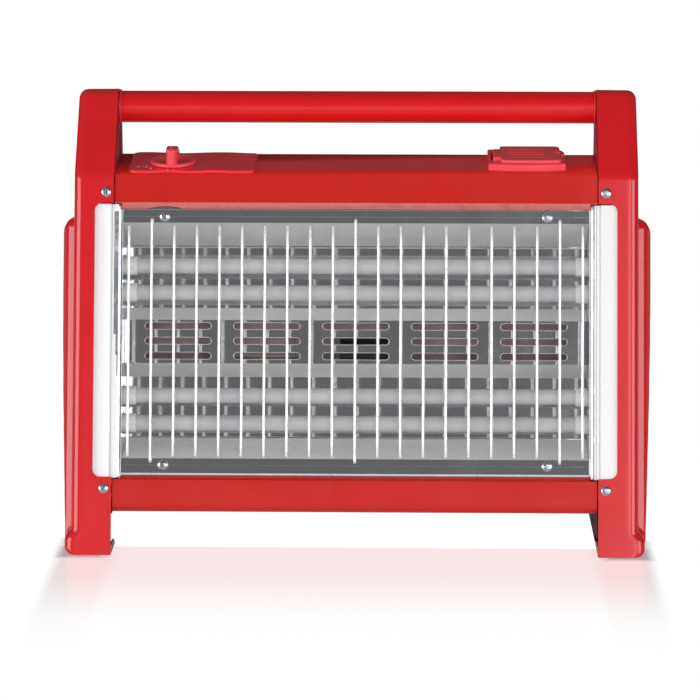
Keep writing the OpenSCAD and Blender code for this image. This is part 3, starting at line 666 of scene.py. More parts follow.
def side_panel(name, sign):
    s_rows = [60.5 + 6 * (1 - math.cos(a)) for a in [math.pi / 2 * k / 6 for k in range(7)]]
    s_rows += [273.1 - 6 * (1 - math.cos(a)) for a in [math.pi / 2 * k / 6 for k in range(7)]]
    fixed = [s * CL for s in s_rows]
    zs = sorted(set(fixed))
    top = [HT - 7.0 * (1 - math.sin(a)) for a in [math.pi / 2 * k / 8 for k in range(9)]]
    cand = [0.0, 0.5, 1.0, 1.8, 2.8, 3.9, 5.0, 6.8, 8.6, 10.4, 11.8, 13, 14.1, 15.2, 16.2, 17.2, 18.6, 20, 22, 24.5]
    cand += [27.5 + 3.1 * k for k in range(66)] + [231.2 + 0.9 * k for k in range(24)] + [253.6, 256.0]
    cand += [267.4 + 3.1 * k for k in range(30)]
    rows = [z for z in zs] + top
    for z in cand:
        if z < HT - 8 and all(abs(z - q) > 1.1 for q in fixed):
            rows.append(z)
    rows = sorted(set(round(z, 5) for z in rows))
    w0, w1 = 60.5 * CL, 273.1 * CL

    def split(z):
        s = z / CL
        if s <= 60.5 or s >= 273.1:
            return IN_X + 8.6
        if s < 66.5:
            return IN_X + 8.6 + math.sqrt(max(0.0, 36 - (66.5 - s) ** 2))
        if s > 267.1:
            return IN_X + 8.6 + math.sqrt(max(0.0, 36 - (s - 267.1) ** 2))
        return IN_X + 14.6

    n1, n2, na, nb, nr = 4, 4, 9, 7, 6
    rc, rb = 7.0, 5.0
    offs = [0.0, 3.0, 6.5, 10.5, 14.5, 17.3, 18.4, 19.1, 19.7, 20.3, 20.9, 21.5, 22.1, 22.8, 23.6, 24.6, 25.7, 27.1, 28.8, 31.0, 33.6, 36.0]
    rear = [0.0, 0.8, 1.3, 1.8, 2.4, 3.1, 4.0, 5.2, 6.8, 8.8, 11.2, 14.2, 17.5, 21.0]
    grid, meta = [], []
    for z in rows:
        yf, yr = y_front(z), y_rear(z)
        ti = top_inset(z, 7.0)
        xo = OUT_X + flare(z) - ti
        ra = max(0.6, rc * (1 - ti / 9.0))
        rk = max(0.6, rb * (1 - ti / 9.0))
        sp = split(z)
        line = [(IN_X + (sp - IN_X) * k / n1, yf) for k in range(n1 + 1)]
        line += [(sp + (xo - ra - sp) * k / n2, yf) for k in range(1, n2)]
        line += [(xo - ra + ra * math.sin(a), yf + ra * (1 - math.cos(a)))
                 for a in [math.pi / 2 * k / na for k in range(na + 1)]]
        a0, a1 = yf + ra, yr - rk
        span = a1 - a0
        k = min(1.0, span / 60.0)
        left_y = [a0 + o * k for o in offs[1:]]
        right_y = [a1 - o * k for o in rear[1:]][::-1]
        gap0, gap1 = left_y[-1], right_y[0]
        mid = [gap0 + (gap1 - gap0) * j / 11.0 for j in range(1, 11)]
        ys = left_y + mid + right_y
        line += [(xo, y) for y in ys]
        line += [(xo - rk * (1 - math.cos(a)), yr - rk * (1 - math.sin(a)))
                 for a in [math.pi / 2 * k / nb for k in range(nb + 1)]]
        line += [(xo - rk - (xo - rk - IN_X) * k / nr, yr) for k in range(1, nr + 1)]
        pts = []
        for x, y in line:
            if x > OUT_X - 3.0 and z < 300:
                extra = swell(y, z) * min(1.0, max(0.0, (a1 - y) / 1.6))
                base = x - OUT_X
                x = OUT_X + max(base, extra) if x >= OUT_X - 1e-6 else x
            pts.append((x, y, z - top_fall(x, y, z)))
        grid.append(pts)
    verts, faces = [], []
    w = len(grid[0])
    for r in grid:
        verts += [B(x, y, z) for x, y, z in r]
    for i in range(len(grid) - 1):
        za, zb = rows[i], rows[i + 1]
        inside = (za + zb) / 2 > w0 and (za + zb) / 2 < w1
        for j in range(w - 1):
            if inside and j < n1:
                continue
            faces.append((i * w + j, i * w + j + 1, (i + 1) * w + j + 1, (i + 1) * w + j))
    last = (len(grid) - 1) * w
    faces.append(tuple(range(last, last + w)))
    if sign < 0:
        verts, faces = mirrored(verts, faces)
    o = raw(name, verts, faces, M["panel"])
    bm = bmesh.new()
    bm.from_mesh(o.data)
    bmesh.ops.remove_doubles(bm, verts=bm.verts, dist=1e-6)
    loose = [v for v in bm.verts if not v.link_faces]
    bmesh.ops.delete(bm, geom=loose, context="VERTS")
    bmesh.ops.recalc_face_normals(bm, faces=bm.faces)
    # the skin faces outwards
    f = max(bm.faces, key=lambda q: abs(q.calc_center_median().x))
    if f.normal.x * f.calc_center_median().x < 0:
        bmesh.ops.reverse_faces(bm, faces=bm.faces)
    bm.to_mesh(o.data)
    bm.free()
    md = o.modifiers.new("wall", "SOLIDIFY")
    md.thickness = 0.002
    md.offset = -1.0
    md.use_even_offset = False
    md.use_quality_normals = True
    apply_mods(o)
    for v in o.data.vertices:
        v.co.z = max(v.co.z, 0.0)
    bevelled(o, 0.45, 2, 62.0)
    if sign < 0:
        box2d = [(36.0, -1.0), (151.0, -1.0), (151.0, 31.0), (36.0, 31.0)]
        cut(o, [slab("cut", box2d, [(187.0, 0), (203.6, 0)], lambda a, b_, h: B(-h, a, b_), M["panel"])])
    smooth(o, 40)
    weighted(o)
    # the tab inside the foot
    tab = fillet([(2.2, 0.0), (34.0, 0.0), (34.0, 4.6), (3.6, 6.6)], [0.2, 0.2, 1.2, 1.2], 4)
    t = slab(name + "_tab", tab, [(IN_X, 0.3), (IN_X + 0.3, 0), (IN_X + 1.3, 0), (IN_X + 1.6, 0.3)],
             lambda a, b, h: B(sign * h, a, b), M["panel"])
    smooth(t, 30)
    inner = [(203.6, 148.6), (203.6, 36.0), (188.0, 36.0)] if sign < 0 else [(188.0, 148.6)]
    sole = slab(name + "_sole", [(188.0, 0.9), (217.4, 0.9), (217.4, 148.6)] + inner, [(0.0, 0.2), (0.2, 0.0), (1.8, 0.0), (2.0, 0.2)],
                lambda a, b_, h: B(sign * a, b_, h), M["panel"])
    smooth(sole, 30)
    return joined([o, t, sole], name)


for side, sign in (("left", -1), ("right", 1)):
    place(side_panel("side_panel_shell_" + side, sign), "heater", "panel_gloss", "side_panel_" + side)

# ------------------------------------------------------------------ sheet parts
casing_top = from_cad("casing_top_sheet", "casing_top", 0.42, [M["casing"], M["lip"], M["roof"]], 25)
# the lip faces take the pink painted reflection, the upward faces the lighter painted-light red
for p in casing_top.data.polygons:
    y, z = p.center.y * 1000 + 75.0, p.center.z * 1000
    s, d = y * SL + z * CL, y * CL - z * SL
    if 269 < s < 273.9 and d < 7.4 and p.normal.y < -0.3 and p.normal.z < -0.1:
        p.material_index = 1
    elif p.normal.z > 0.9:
        p.material_index = 2
# the lip bows up a little near the left screw and leaves a dark gap over the flange
arch = [(13.5 * math.cos(a), 2.6 * math.sin(a) ** 1.0) for a in [2 * math.pi * k / 40 for k in range(40)]]
cut(casing_top, [slab("cut", arch, [(-4.0, 0), (6.0, 0)], lambda a, b, h: P(-148.0 + a, 268.3 + b * 1.0, 6.6 + h - 0.82 * b), M["casing"])])
smooth(casing_top, 35)
place(casing_top, "heater", "casing_paint", "casing_top")
place(from_cad("casing_bottom_sheet", "casing_bottom", 0.42, M["casing"], 25), "heater", "casing_paint", "casing_bottom")
rear = from_cad("rear_cover_sheet", "rear_cover", 0.30, [M["casing"], M["primer"]], 25)
# faces turned to the front (the inside) take the desaturated painted shade and haze
for p in rear.data.polygons:
    if p.normal.y < -0.5:
        p.material_index = 1
place(rear, "heater", "casing_paint", "rear_cover")
for side in ("left", "right"):
    place(from_cad("end_frame_sheet_" + side, "end_frame_" + side, 0.35, M["frame_low" if side == "right" else "frame"], 30), "heater",
          "frame_paint", "end_frame_" + side)
refl = from_cad("reflector_sheet", "reflector", 0.34, [M["mirror"], M["slope"], M["slope_up"]], 12)
# painted reflection: sloping faces inside the trough get the pale satin finishes, whiter where they face up
for p in refl.data.polygons:
    y = p.center.y * 1000 + 75.0
    d = y * CL - p.center.z * 1000 * SL
    ns = p.normal.y * SL + p.normal.z * CL
    if 8.5 < d < 51.0 and abs(ns) > 0.35:
        p.material_index = 2 if ns > 0 else 1
creases = [wire("crease", [P(-180.7 + 361.4 * k / 30.0, s, 7.02 + 0.03 * math.sin(k * 1.7)) for k in range(31)], 0.17, M["crosswire"], 8)
           for s in (263.3, 69.9)]
creases.append(wire("bead", [P(-180.7 + 361.4 * k / 20.0, 268.7, 6.6) for k in range(21)], 0.4, M["crosswire"], 8))
# the hem's pale finish is a painted highlight along the lower edge
creases.append(wire("hem", [P(-180.7 + 361.4 * k / 20.0, 63.0, 6.2) for k in range(21)], 0.85, M["hem"], 10))


# painted highlight: a near-white wire loop round each slot stands for the glint on its cut edge
def slot_rim_painted_highlight(x, s):
    pts = []
    for k in range(13):
        a = -math.pi / 2 + math.pi * k / 12
        pts.append((x + 23.3 + 2.75 * math.cos(a), s + 2.75 * math.sin(a)))
    pts += [(x + 11.6, s + 2.75), (x, s + 2.75), (x - 11.6, s + 2.75)]
    for k in range(13):
        a = math.pi / 2 + math.pi * k / 12
        pts.append((x - 23.3 + 2.75 * math.cos(a), s + 2.75 * math.sin(a)))
    pts += [(x - 11.6, s - 2.75), (x, s - 2.75), (x + 11.6, s - 2.75), pts[0]]
    return wire("sr", [P(a, b_, 28.0) for a, b_ in pts], 0.24, M["wire"], 6)


creases += [slot_rim_painted_highlight(-139.2 + 69.6 * k, s) for k in range(5) for s in (155.9, 167.6, 179.3)]
place(joined([refl] + creases, "reflector_sheet"), "heater", "reflector_polish", "reflector")
for side in ("left", "right"):
    place(from_cad("reflector_cheek_sheet_" + side, "reflector_cheek_" + side, 0.2, M["mirror"], 30), "heater",
          "reflector_polish", "reflector_cheek_" + side)


def side_plate(side, sign):
    """The white flange seen through the panel's window, with a bead along its inner edge."""
    bead = [(182.22, 5.0), (182.26, 4.66), (182.42, 4.36), (182.7, 4.14), (183.05, 4.05), (183.42, 4.1), (183.72, 4.28), (183.95, 4.5), (184.1, 4.6)]
    flat = [(184.2, 4.6), (185.1, 4.6), (186.1, 4.6), (187.1, 4.6), (187.7, 4.6), (187.82, 4.48), (188.05, 4.42), (188.92, 4.42), (189.06, 4.52),
            (189.14, 4.7), (189.3, 4.76), (189.44, 4.62), (189.52, 4.3),
            (190.1, 2.72), (190.28, 2.5), (190.6, 2.4), (199.0, 2.4), (208.0, 2.4)]
    back = [(208.0, 3.2), (199.0, 3.2), (191.2, 3.2), (190.95, 3.3), (190.1, 4.9), (189.7, 5.3), (189.2, 5.4), (186.9, 5.4), (182.4, 5.4), (182.22, 5.2)]
    sec = bead + flat + back
    lit = len(bead) - 1
    rows = [59.9, 60.2, 62.2] + [66 + 8.1 * k for k in range(25)] + [267.0, 272.2, 272.5]
    verts, faces, idx = [], [], []
    n = len(sec)
    for k, s in enumerate(rows):
        g = 0.1 if k in (0, len(rows) - 1) else 0.0
        pts = shrink(sec, g) if g else sec
        # the thin sheet is never perfectly straight
        w = 0.10 * math.sin(s * 0.045 + sign) + 0.05 * math.sin(s * 0.13)
        verts += [P(sign * x, s, d + w * (1.0 if x < 188 else 0.3)) for x, d in pts]
    for k in range(len(rows) - 1):
        for i in range(n):
            j = (i + 1) % n
            faces.append((k * n + i, k * n + j, (k + 1) * n + j, (k + 1) * n + i))
            mid = (sec[i][0] + sec[j][0]) / 2
            front = i < len(bead) + len(flat) - 1
            if not front:
                idx.append(0)
            elif i < lit:
                idx.append(2)
            # the groove and a stripe on the right plate take the grey painted shade; the strip patches take the
            # painted reflections
            elif 189.1 < mid < 189.5:
                idx.append(3)
            elif sign < 0:
                sm = (rows[k] + rows[k + 1]) / 2
                idx.append(1 if (mid < 187.75 and 172 < sm < 267) or (mid < 186.1 and 155 < sm < 173) or (mid < 185.1 and 138 < sm < 156) else 0)
            else:
                idx.append(1 if mid < 185.1 else 3 if 186.1 < mid < 187.1 else 0)
    faces.append(tuple(range(n)))
    faces.append(tuple(range(len(rows) * n - n, len(rows) * n)))
    idx += [0, 0]
    o = raw("side_plate_enamel_" + side, verts, faces, [M["white"], M["strip"], M["zinc"], M["groove"]], idx)
    bm = bmesh.new()
    bm.from_mesh(o.data)
    bmesh.ops.recalc_face_normals(bm, faces=bm.faces)
    bm.to_mesh(o.data)
    bm.free()
    smooth(o, 55)
    return place(o, "heater", "white_enamel", "side_plate_" + side)


side_plate("left", -1)
side_plate("right", 1)

# ------------------------------------------------------------------ handle
HY, HZ = 129.0, 332.4
H0 = B(0, HY, HZ)
prof = [(-186.25, 11.3), (-186.25, 12.2), (-185.95, 12.5)] + [(-180 + 12 * k, 12.5) for k in range(31)]
prof += [(185.95, 12.5), (186.25, 12.2), (186.25, 11.3)] + [(180 - 60 * k, 11.3) for k in range(7)]
o = lathe("handle_tube_painted", H0, (1, 0, 0), prof, M["handle"], 96, close=True)
place(o, "heater", "handle_paint", "handle_tube")
for side, sign in (("left", -1), ("right", 1)):
    prof = [(164.25, 2.1), (164.25, 10.7), (164.85, 11.25), (186.25, 11.25), (186.27, 13.1), (186.45, 13.45), (186.7, 13.6),
            (187.05, 13.6), (187.37, 13.3), (187.37, 2.1)]
    o = lathe("handle_plug_moulded_" + side, H0, (sign, 0, 0), prof, M["plastic"], 72, close=True)
    place(o, "heater", "control_plastic", "handle_plug_" + side)

# ------------------------------------------------------------------ screws


def pan_screw(name, origin, out, r, hh, shank, length, turn, mat):
    """A pan-head screw with a cross recess; out is the direction the head faces."""
    a, u, v = axes(out)
    dome = [(0.0, r * 0.94), (0.12 * hh, r), (0.38 * hh, r * 0.985), (0.6 * hh, r * 0.93), (0.8 * hh, r * 0.80),
            (0.92 * hh, r * 0.62), (0.98 * hh, r * 0.38), (hh, r * 0.14), (hh, 0.0001)]
    thread = []
    k = -length
    thread.append((-length, 0.3))
    while k < -0.9:
        thread += [(k + 0.15, shank * 0.80), (k + 0.42, shank), (k + 0.58, shank)]
        k += 0.9
    thread += [(-0.2, shank * 0.85), (0.0, shank * 0.85)]
    head = lathe(name, origin, out, thread + dome, mat, 40, angle=50)
    cs = []
    for q in (turn, turn + math.pi / 2):
        uu = u * math.cos(q) + v * math.sin(q)
        vv = a.cross(uu)
        w, l = r * 0.13, r * 0.56
        vs = []
        for h, kx, ky in ((hh * 0.34, 0.62, 0.55), (hh * 1.3, 1.0, 1.15)):
            for sx, sy in ((-1, -1), (1, -1), (1, 1), (-1, 1)):
                vs.append(origin + (a * h + uu * sx * l * kx + vv * sy * w * ky) / 1000.0)
        c = raw("c", vs, [(0, 3, 2, 1), (4, 5, 6, 7), (0, 1, 5, 4), (1, 2, 6, 5), (2, 3, 7, 6), (3, 0, 4, 7)], mat)
        fix_normals(c)
        cs.append(c)
    cut(head, cs)
    smooth(head, 40)
    return head


front_n = Vector((0, -CL, SL))
ss = []
for m in (-1, 1):
    for s in (51.5, 281.5):
        ss.append(pan_screw("ps", P(m * 193.8, s, -0.02), front_n, 4.1, 2.3, 1.6, 8.8, random.uniform(0, 1.5), M["zinc"]))
place(joined(ss, "panel_screws_cross"), "heater", "zinc_steel", "panel_screws")
ss = []
for x in (-148.6, 148.6):
    for s in (70, 263.2):
        ss.append(pan_screw("fs", P(x, s, 6.98), front_n, 3.95, 2.2, 1.9, 7.8, random.uniform(0, 1.5), M["zinc"]))
place(joined(ss, "flange_screws_cross"), "heater", "zinc_steel", "flange_screws")
ss = []
for x in (-160, -54, 54, 160):
    for z in (38, 286):
        ss.append(pan_screw("rs", B(x, 138.22, z), Vector((0, 1, 0)), 3.6, 2.0, 1.4, 7.8, random.uniform(0, 1.5), M["zinc"]))
place(joined(ss, "rear_screws_cross"), "heater", "zinc_steel", "rear_screws")

# ------------------------------------------------------------------ guard
uprights, crosses = [], []
for i in range(-10, 11):
    x = i * 17.6
    hook = abs(i) == 9 or i == 0
    r = 1.05
    if hook:
        pts = [P(x, 72.4, 13.0), P(x, 72.4, 6.4)]
        pts += [P(x, 72.4 + 2.0 * (1 - math.cos(q)), 6.4 - 2.0 * math.sin(q)) for q in [math.pi / 2 * k / 5 for k in range(1, 6)]]
        pts += [P(x, 80 + 14.5 * k, 4.4) for k in range(13)]
        pts += [P(x, 261.0 - 2.0 * (1 - math.cos(q)), 6.4 - 2.0 * math.sin(q)) for q in [math.pi / 2 * k / 5 for k in range(5, 0, -1)]]
        pts += [P(x, 261.0, 6.4), P(x, 261.0, 13.0)]
    else:
        j = random.uniform(-0.15, 0.15)
        pts = [P(x + j * math.sin(k * 0.5), 77.0 + (255.5 - 77.0) * k / 12.0, 4.4) for k in range(13)]
    uprights.append(wire("u", pts, r, M["wire"]))
    for s in (91.3, 239.7):
        # weld beads
        a = P(x, s, 5.46)
        uprights.append(lathe("b", a, (0, CL, -SL), [(-0.55, 0.2), (-0.4, 0.95), (0.0, 1.32), (0.4, 0.95), (0.5, 0.2)], M["wire"], 12))
for s in (91.3, 239.7):
    crosses.append(wire("c", [P(-177.4 + 354.8 * k / 24.0, s, 6.52) for k in range(25)], 1.05, M["crosswire"]))
place(joined(uprights, "guard_upright_wires"), "heater", "guard_wire", "guard_uprights")
place(joined(crosses, "guard_cross_wire_pair"), "heater", "guard_wire", "guard_cross_wires")

# ------------------------------------------------------------------ lamps
LAMPS = [226.2, 205.3, 124.6, 103.2]
for i, s in enumerate(LAMPS):
    c = P(0, s, 27)
    prof = [(-178, 5.1), (-178, 6.0), (-177.8, 6.15)] + [(-170 + 17 * k, 6.15) for k in range(21)]
    prof += [(177.8, 6.15), (178, 6.0), (178, 5.1), (177.8, 4.95), (0, 4.95), (-177.8, 4.95)]
    o = lathe("quartz_tube_milky_%d" % (i + 1), c, (1, 0, 0), prof, M["quartz"], 48, close=True)
    place(o, "heater", "quartz", "quartz_tube_%d" % (i + 1))
    # wound wire: a real helix with straight leads
    turns, rr, wr = 150, 2.95, 0.42
    n = turns * 12
    cpts = [c + Vector((-195.8, 0, 0)) / 1000, c + Vector((-168, 0, 0)) / 1000]
    for k in range(n + 1):
        q = 2 * math.pi * k / 12.0
        x = -165.5 + 331.0 * k / n
        ease = min(1.0, k / 9.0, (n - k) / 9.0)
        ry, rz = rr * ease * math.cos(q), rr * ease * math.sin(q)
        cpts.append(c + Vector((x, ry, rz)) / 1000)
    cpts += [c + Vector((168, 0, 0)) / 1000, c + Vector((195.8, 0, 0)) / 1000]
    o = wire("wound_coil_%d" % (i + 1), cpts, wr, M["coil"], 5, ends=False)
    place(o, "heater", "coil_wire", "heating_coil_%d" % (i + 1))

for side, sign in (("left", -1), ("right", 1)):
    caps = []
    for s in LAMPS:
        prof = [(171.5, 6.25), (171.5, 6.9), (171.9, 7.3), (180.6, 7.3), (180.9, 7.15), (181.4, 7.15), (181.7, 7.3),
                (187.6, 7.3), (187.9, 7.1), (195.2, 7.1), (195.98, 6.5), (195.98, 1.35), (178.3, 1.35), (178.25, 6.25)]
        caps.append(lathe("cap", P(0, s, 27), (sign, 0, 0), prof, M["ceramic"], 48, close=True))
    place(joined(caps, "ceramic_end_caps_" + side), "heater", "ceramic", "ceramic_caps_" + side)

# ------------------------------------------------------------------ control plate and knob


def plate_outline():
    xs = [-178 + 99 * k / 90.0 for k in range(91)]
    xs = sorted(set(xs + [-178 + 7 * (1 - math.cos(a)) for a in [math.pi / 2 * k / 8 for k in range(9)]]
                    + [-79 - 7 * (1 - math.cos(a)) for a in [math.pi / 2 * k / 8 for k in range(9)]]))

    def arc(x):
        q = max(0.0, -171 - x, x + 86)
        return 7 - math.sqrt(max(0.0, 49 - min(7.0, q) ** 2))

    lo = [(x, max(5 - 1.4 * math.cos(math.radians(360 * (x + 92) / 37)), 4.5 + arc(x))) for x in xs]
    hi = [(x, min(60.2 + 1.6 * math.cos(math.radians(360 * (x + 108) / 60)), 61.5 - arc(x))) for x in reversed(xs)]
    out = []
    for p in lo + hi:
        if not out or math.hypot(p[0] - out[-1][0], p[1] - out[-1][1]) > 0.05:
            out.append(p)
    return out


o = slab("control_plate_moulded", plate_outline(), round_rings(0.02, 2.02, 0.0, 0.9, 5), Q, M["plastic"])
smooth(o, 30)
weighted(o)


def stroke(pts, w, h=2.03, body_mat="ink"):
    """A thin raised line on the control plate."""
    pieces_ = []
    for a, b in zip(pts, pts[1:]):
        a, b = Vector(a), Vector(b)
        u = (b - a).normalized()
        n = Vector((-u.y, u.x)) * w / 2
        q = [a + n, a - n, b - n, b + n]
        vs = [Q(p.x, p.y, h - 0.01) for p in q] + [Q(p.x, p.y, h + 0.03) for p in q]
        pieces_.append(raw("st", vs, [(3, 2, 1, 0), (4, 5, 6, 7), (0, 1, 5, 4), (1, 2, 6, 5), (2, 3, 7, 6), (3, 0, 4, 7)], M[body_mat]))
    return pieces_


def dot(x, t, r, h=2.03):
    a = (0, -ST, CT)
    return lathe("dt", Q(x, t, h), a, [(-0.01, r), (0.03, r * 0.96), (0.035, 0.001)], M["ink"], 20)


KX, KT = -144.2, 29.0
DIGITS = {
    "0": [[(0, 0), (1, 0), (1, 2), (0, 2), (0, 0)]],
    "1": [[(0.2, 1.5), (0.6, 2), (0.6, 0)]],
    "2": [[(0, 1.7), (0.3, 2), (0.8, 2), (1, 1.6), (1, 1.2), (0, 0), (1, 0)]],
    "3": [[(0, 2), (1, 2), (0.5, 1.2), (1, 0.8), (1, 0.3), (0.7, 0), (0, 0)]],
    "4": [[(0.8, 0), (0.8, 2), (0, 0.7), (1, 0.7)]],
}


def glyph(ch, x, t, k, w):
    out = []
    for line in DIGITS[ch]:
        out += stroke([(x + p[0] * k, t + p[1] * k * 1.1) for p in line], w)
    return out


marks = [dot(-147.0, 8.2, 0.75), dot(-142.2, 7.4, 0.5)]
marks += glyph("0", -171.6, 14.0, 1.7, 0.5)
marks += glyph("1", -168.0, 14.0, 1.7, 0.5)
marks += glyph("2", -165.0, 14.0, 1.7, 0.5)
marks += glyph("3", -161.4, 8.6, 1.7, 0.5)
o = joined([o] + marks, "control_plate_moulded")
place(o, "heater", "control_plastic", "control_plate")


def KQ(x, t, h):
    return Q(KX + x, KT + t, h)


top_dir = Vector((0, -ST, CT))
disc = lathe("disc", Q(KX, KT, 0), top_dir, [(2.25, 3.02), (2.25, 17.7), (2.45, 18.1), (2.85, 18.3), (3.9, 18.3), (4.4, 18.1),
                                               (4.78, 17.6), (4.95, 16.9), (5.0, 16.0), (5.0, 14.6), (4.8, 14.2), (4.8, 3.02)], M["knob"], 96, close=True)


def bar_top(t):
    return float(np.interp(t, [-17.9, -17.3, -16.5, -8.0, -4.5, -1.0, 2.5, 6.0, 9.0, 12.0, 14.5, 16.5],
                           [15.6, 16.3, 16.85, 16.85, 16.45, 15.6, 14.3, 12.6, 10.7, 8.7, 7.2, 6.1]))


def knob_bar():
    """A grip bar with round ends in plan, tall at the front and falling to the rear."""
    ts, hw = [], []
    for a in [math.pi / 2 * k / 9 for k in range(10)]:
        ts.append(-17.9 + 4.6 * (1 - math.cos(a)))
        hw.append(4.35 * math.sin(a) ** 0.9 if k_ok(a) else 0.15)
    for t in (-11, -8, -5.5, -3, -1, 1, 3, 5, 7, 9, 10.7):
        ts.append(t)
        hw.append(4.35)
    for a in [math.pi / 2 * (1 - k / 8) for k in range(9)]:
        ts.append(16.4 - 4.6 * (1 - math.cos(a)))
        hw.append(4.35 * math.sin(a) ** 0.9 if k_ok(a) else 0.15)
    right = list(zip(hw, ts))
    left_ = [(-x, t) for x, t in reversed(right)]
    out = right + left_
    rings = [(99.0, 0.0)] + [(1.1 * (1 - math.sin(a)), 1.1 * (1 - math.cos(a))) for a in [math.pi / 2 * k / 6 for k in range(7)]]
    verts, faces = [], []
    n, m = len(out), len(right)
    for v, g in rings:
        pts = shrink(out, g) if g > 1e-9 else out
        for x, t in pts:
            verts.append(KQ(x, t, 4.75 if v > 50 else bar_top(t) - v))
    for k in range(len(rings) - 1):
        for i in range(n):
            j = (i + 1) % n
            faces.append((k * n + i, k * n + j, (k + 1) * n + j, (k + 1) * n + i))
    top = (len(rings) - 1) * n
    for base_, flip in ((0, True), (top, False)):
        for i in range(m - 1):
            q = (base_ + i, base_ + i + 1, base_ + n - 2 - i, base_ + n - 1 - i)
            faces.append(tuple(reversed(q)) if flip else q)
    o = raw("bar", verts, faces, M["knob"])
    fix_normals(o)
    return smooth(o, 38)


def k_ok(a):
    return a > 0.05


bar = knob_bar()
# pointer line along the bar's top, moulded in a pale ink
ptr = raw("ptr", [KQ(sx * 0.4, t, h) for t, h in ((-14.8, 16.88), (-8.2, 16.88)) for sx in (-1, 1)],
          [(0, 1, 3, 2)], M["ink"])
hub = lathe("hub", Q(KX, KT, 0), top_dir, [(2.3, 3.02), (2.3, 5.0), (10.0, 5.0), (10.0, 3.02)], M["knob"], 32, close=True)
knob = joined([disc, bar, ptr, hub], "selector_knob_moulded")
place(knob, "selector", "control_plastic", "selector_knob")

# ------------------------------------------------------------------ filler lid


def box_cutter(a, b, r=0.8):
    out = fillet([(a[0], a[1]), (b[0], a[1]), (b[0], b[1]), (a[0], b[1])], r, 5)
    return slab("cut", out, [(a[2], 0), (b[2], 0)], Q, M["plastic"])


base_pts = [(103 + 6.05 * k, 16.6 - 3.4 * math.sin(math.radians(18 * k))) for k in range(11)]
base_pts += [(163.5, 54), (162.2, 58), (159, 60.8), (154, 61.2), (103.6, 61.2), (103, 60.6)]
radii = [1.6] + [0] * 9 + [1.6] + [3, 3, 3, 3, 0.8, 0.8]
base_out = fillet(base_pts, radii, 5)
o = slab("lid_base_moulded", base_out, round_rings(0.02, 5.02, 0.0, 1.3, 6), Q, M["knob"])
cut(o, [box_cutter((105.4, 25.4, 0.9), (111.4, 52.6, 8), 0.5), box_cutter((115.5, 22, -2), (154.5, 49, 8), 3.0),
        box_cutter((160.2, 33, 3.4), (166, 47, 8), 1.5)])
bevelled(o, 0.22, 2, 50)
smooth(o, 30)
weighted(o)
ring_out = fillet([(113.5, 20.5), (156.5, 20.5), (156.5, 50.5), (113.5, 50.5)], 4.0, 6)
ring_in = fillet([(115.5, 22), (154.5, 22), (154.5, 49), (115.5, 49)], 3.0, 6)
nn = len(ring_out)
vs = [Q(p[0], p[1], h) for p, h in [(q, 0.5) for q in ring_out] + [(q, -11) for q in ring_out] + [(q, -11) for q in ring_in] + [(q, 0.5) for q in ring_in]]
fs = []
for a in range(4):
    b = (a + 1) % 4
    for k in range(nn):
        l = (k + 1) % nn
        fs.append((a * nn + k, a * nn + l, b * nn + l, b * nn + k))
neck = fix_normals(raw("neck", vs, fs, M["knob"]))
smooth(neck, 30)
pin_c = lathe("seatpin", Q(108.6, 39, 3.2), Vector((0, CT, ST)), [(-18, 0.98), (18, 0.98)], M["zinc"], 24)
place(pin_c, "heater", "zinc_steel", "lid_hinge_pin")
pin_c.name = "lid_hinge_pin_turned"
o = joined([o, neck], "lid_base_moulded")
place(o, "heater", "control_plastic", "lid_base")

flap_pts = [(112.6, 20.2), (114.4, 18.4), (124, 17.4), (136, 17), (148, 17.4), (158, 18.6), (159.8, 20.6), (159.8, 57.5),
            (158.6, 60), (156, 61), (114.2, 61), (112.6, 59.4)]
flap_out = fillet(flap_pts, [1.5, 1.5, 20, 20, 20, 1.5, 1.5, 2, 2, 2, 1, 1], 5)
f = slab("flap", flap_out, round_rings(5.15, 7.75, 0.15, 1.15, 6), Q, M["knob"])
cs = []
for t in (25.5, 33, 40.5, 48):
    n_ = 14
    a, u, v = axes((1, 0, 0))
    prof = [(117.5, 0.05), (118.1, 1.2), (119.2, 1.65), (147.0, 1.65), (148.1, 1.2), (148.7, 0.05)]
    c = lathe("g", Q(0, t + 1.1, 8.95), (1, 0, 0), prof, M["knob"], 24)
    cs.append(c)
sc_ = lathe("scoop", Q(0, 40, 10.9), (1, 0, 0), [(151.0, 0.05), (152.6, 3.0), (155.0, 4.3), (158.0, 4.9), (162.0, 5.1)], M["knob"], 32)
cs.append(sc_)
cut(f, cs)
smooth(f, 28)
weighted(f)
tongue2d = fillet([(106.75, 26), (114.6, 26), (114.6, 52), (106.75, 52)], [1.6, 0.1, 0.1, 1.6], 5)
tongue = slab("tongue", tongue2d, round_rings(5.2, 7.7, 0.0, 0.9, 5), Q, M["knob"])
smooth(tongue, 30)
barrel = lathe("barrel", Q(108.6, 39, 3.2), Vector((0, CT, ST)), [(-13, 1.05), (-13, 1.8), (-12.8, 1.95), (12.8, 1.95), (13, 1.8), (13, 1.05)], M["knob"], 32, close=True)
neck2 = slab("webb", [(106.75, 26.05), (110.45, 26.05), (110.45, 51.95), (106.75, 51.95)], [(3.2, 0), (5.3, 0)], Q, M["knob"])
rim_o = fillet([(117.4, 24), (152.6, 24), (152.6, 47), (117.4, 47)], 2.0, 5)
rim_i = fillet([(119, 25.6), (151, 25.6), (151, 45.4), (119, 45.4)], 1.0, 5)
nn = len(rim_o)
vs = [Q(p[0], p[1], h) for p, h in [(q, 5.3) for q in rim_o] + [(q, 2.6) for q in rim_o] + [(q, 2.6) for q in rim_i] + [(q, 5.3) for q in rim_i]]
fs = []
for a in range(4):
    b = (a + 1) % 4
    for k in range(nn):
        l = (k + 1) % nn
        fs.append((a * nn + k, a * nn + l, b * nn + l, b * nn + k))
rim = fix_normals(raw("rim", vs, fs, M["knob"]))
smooth(rim, 30)
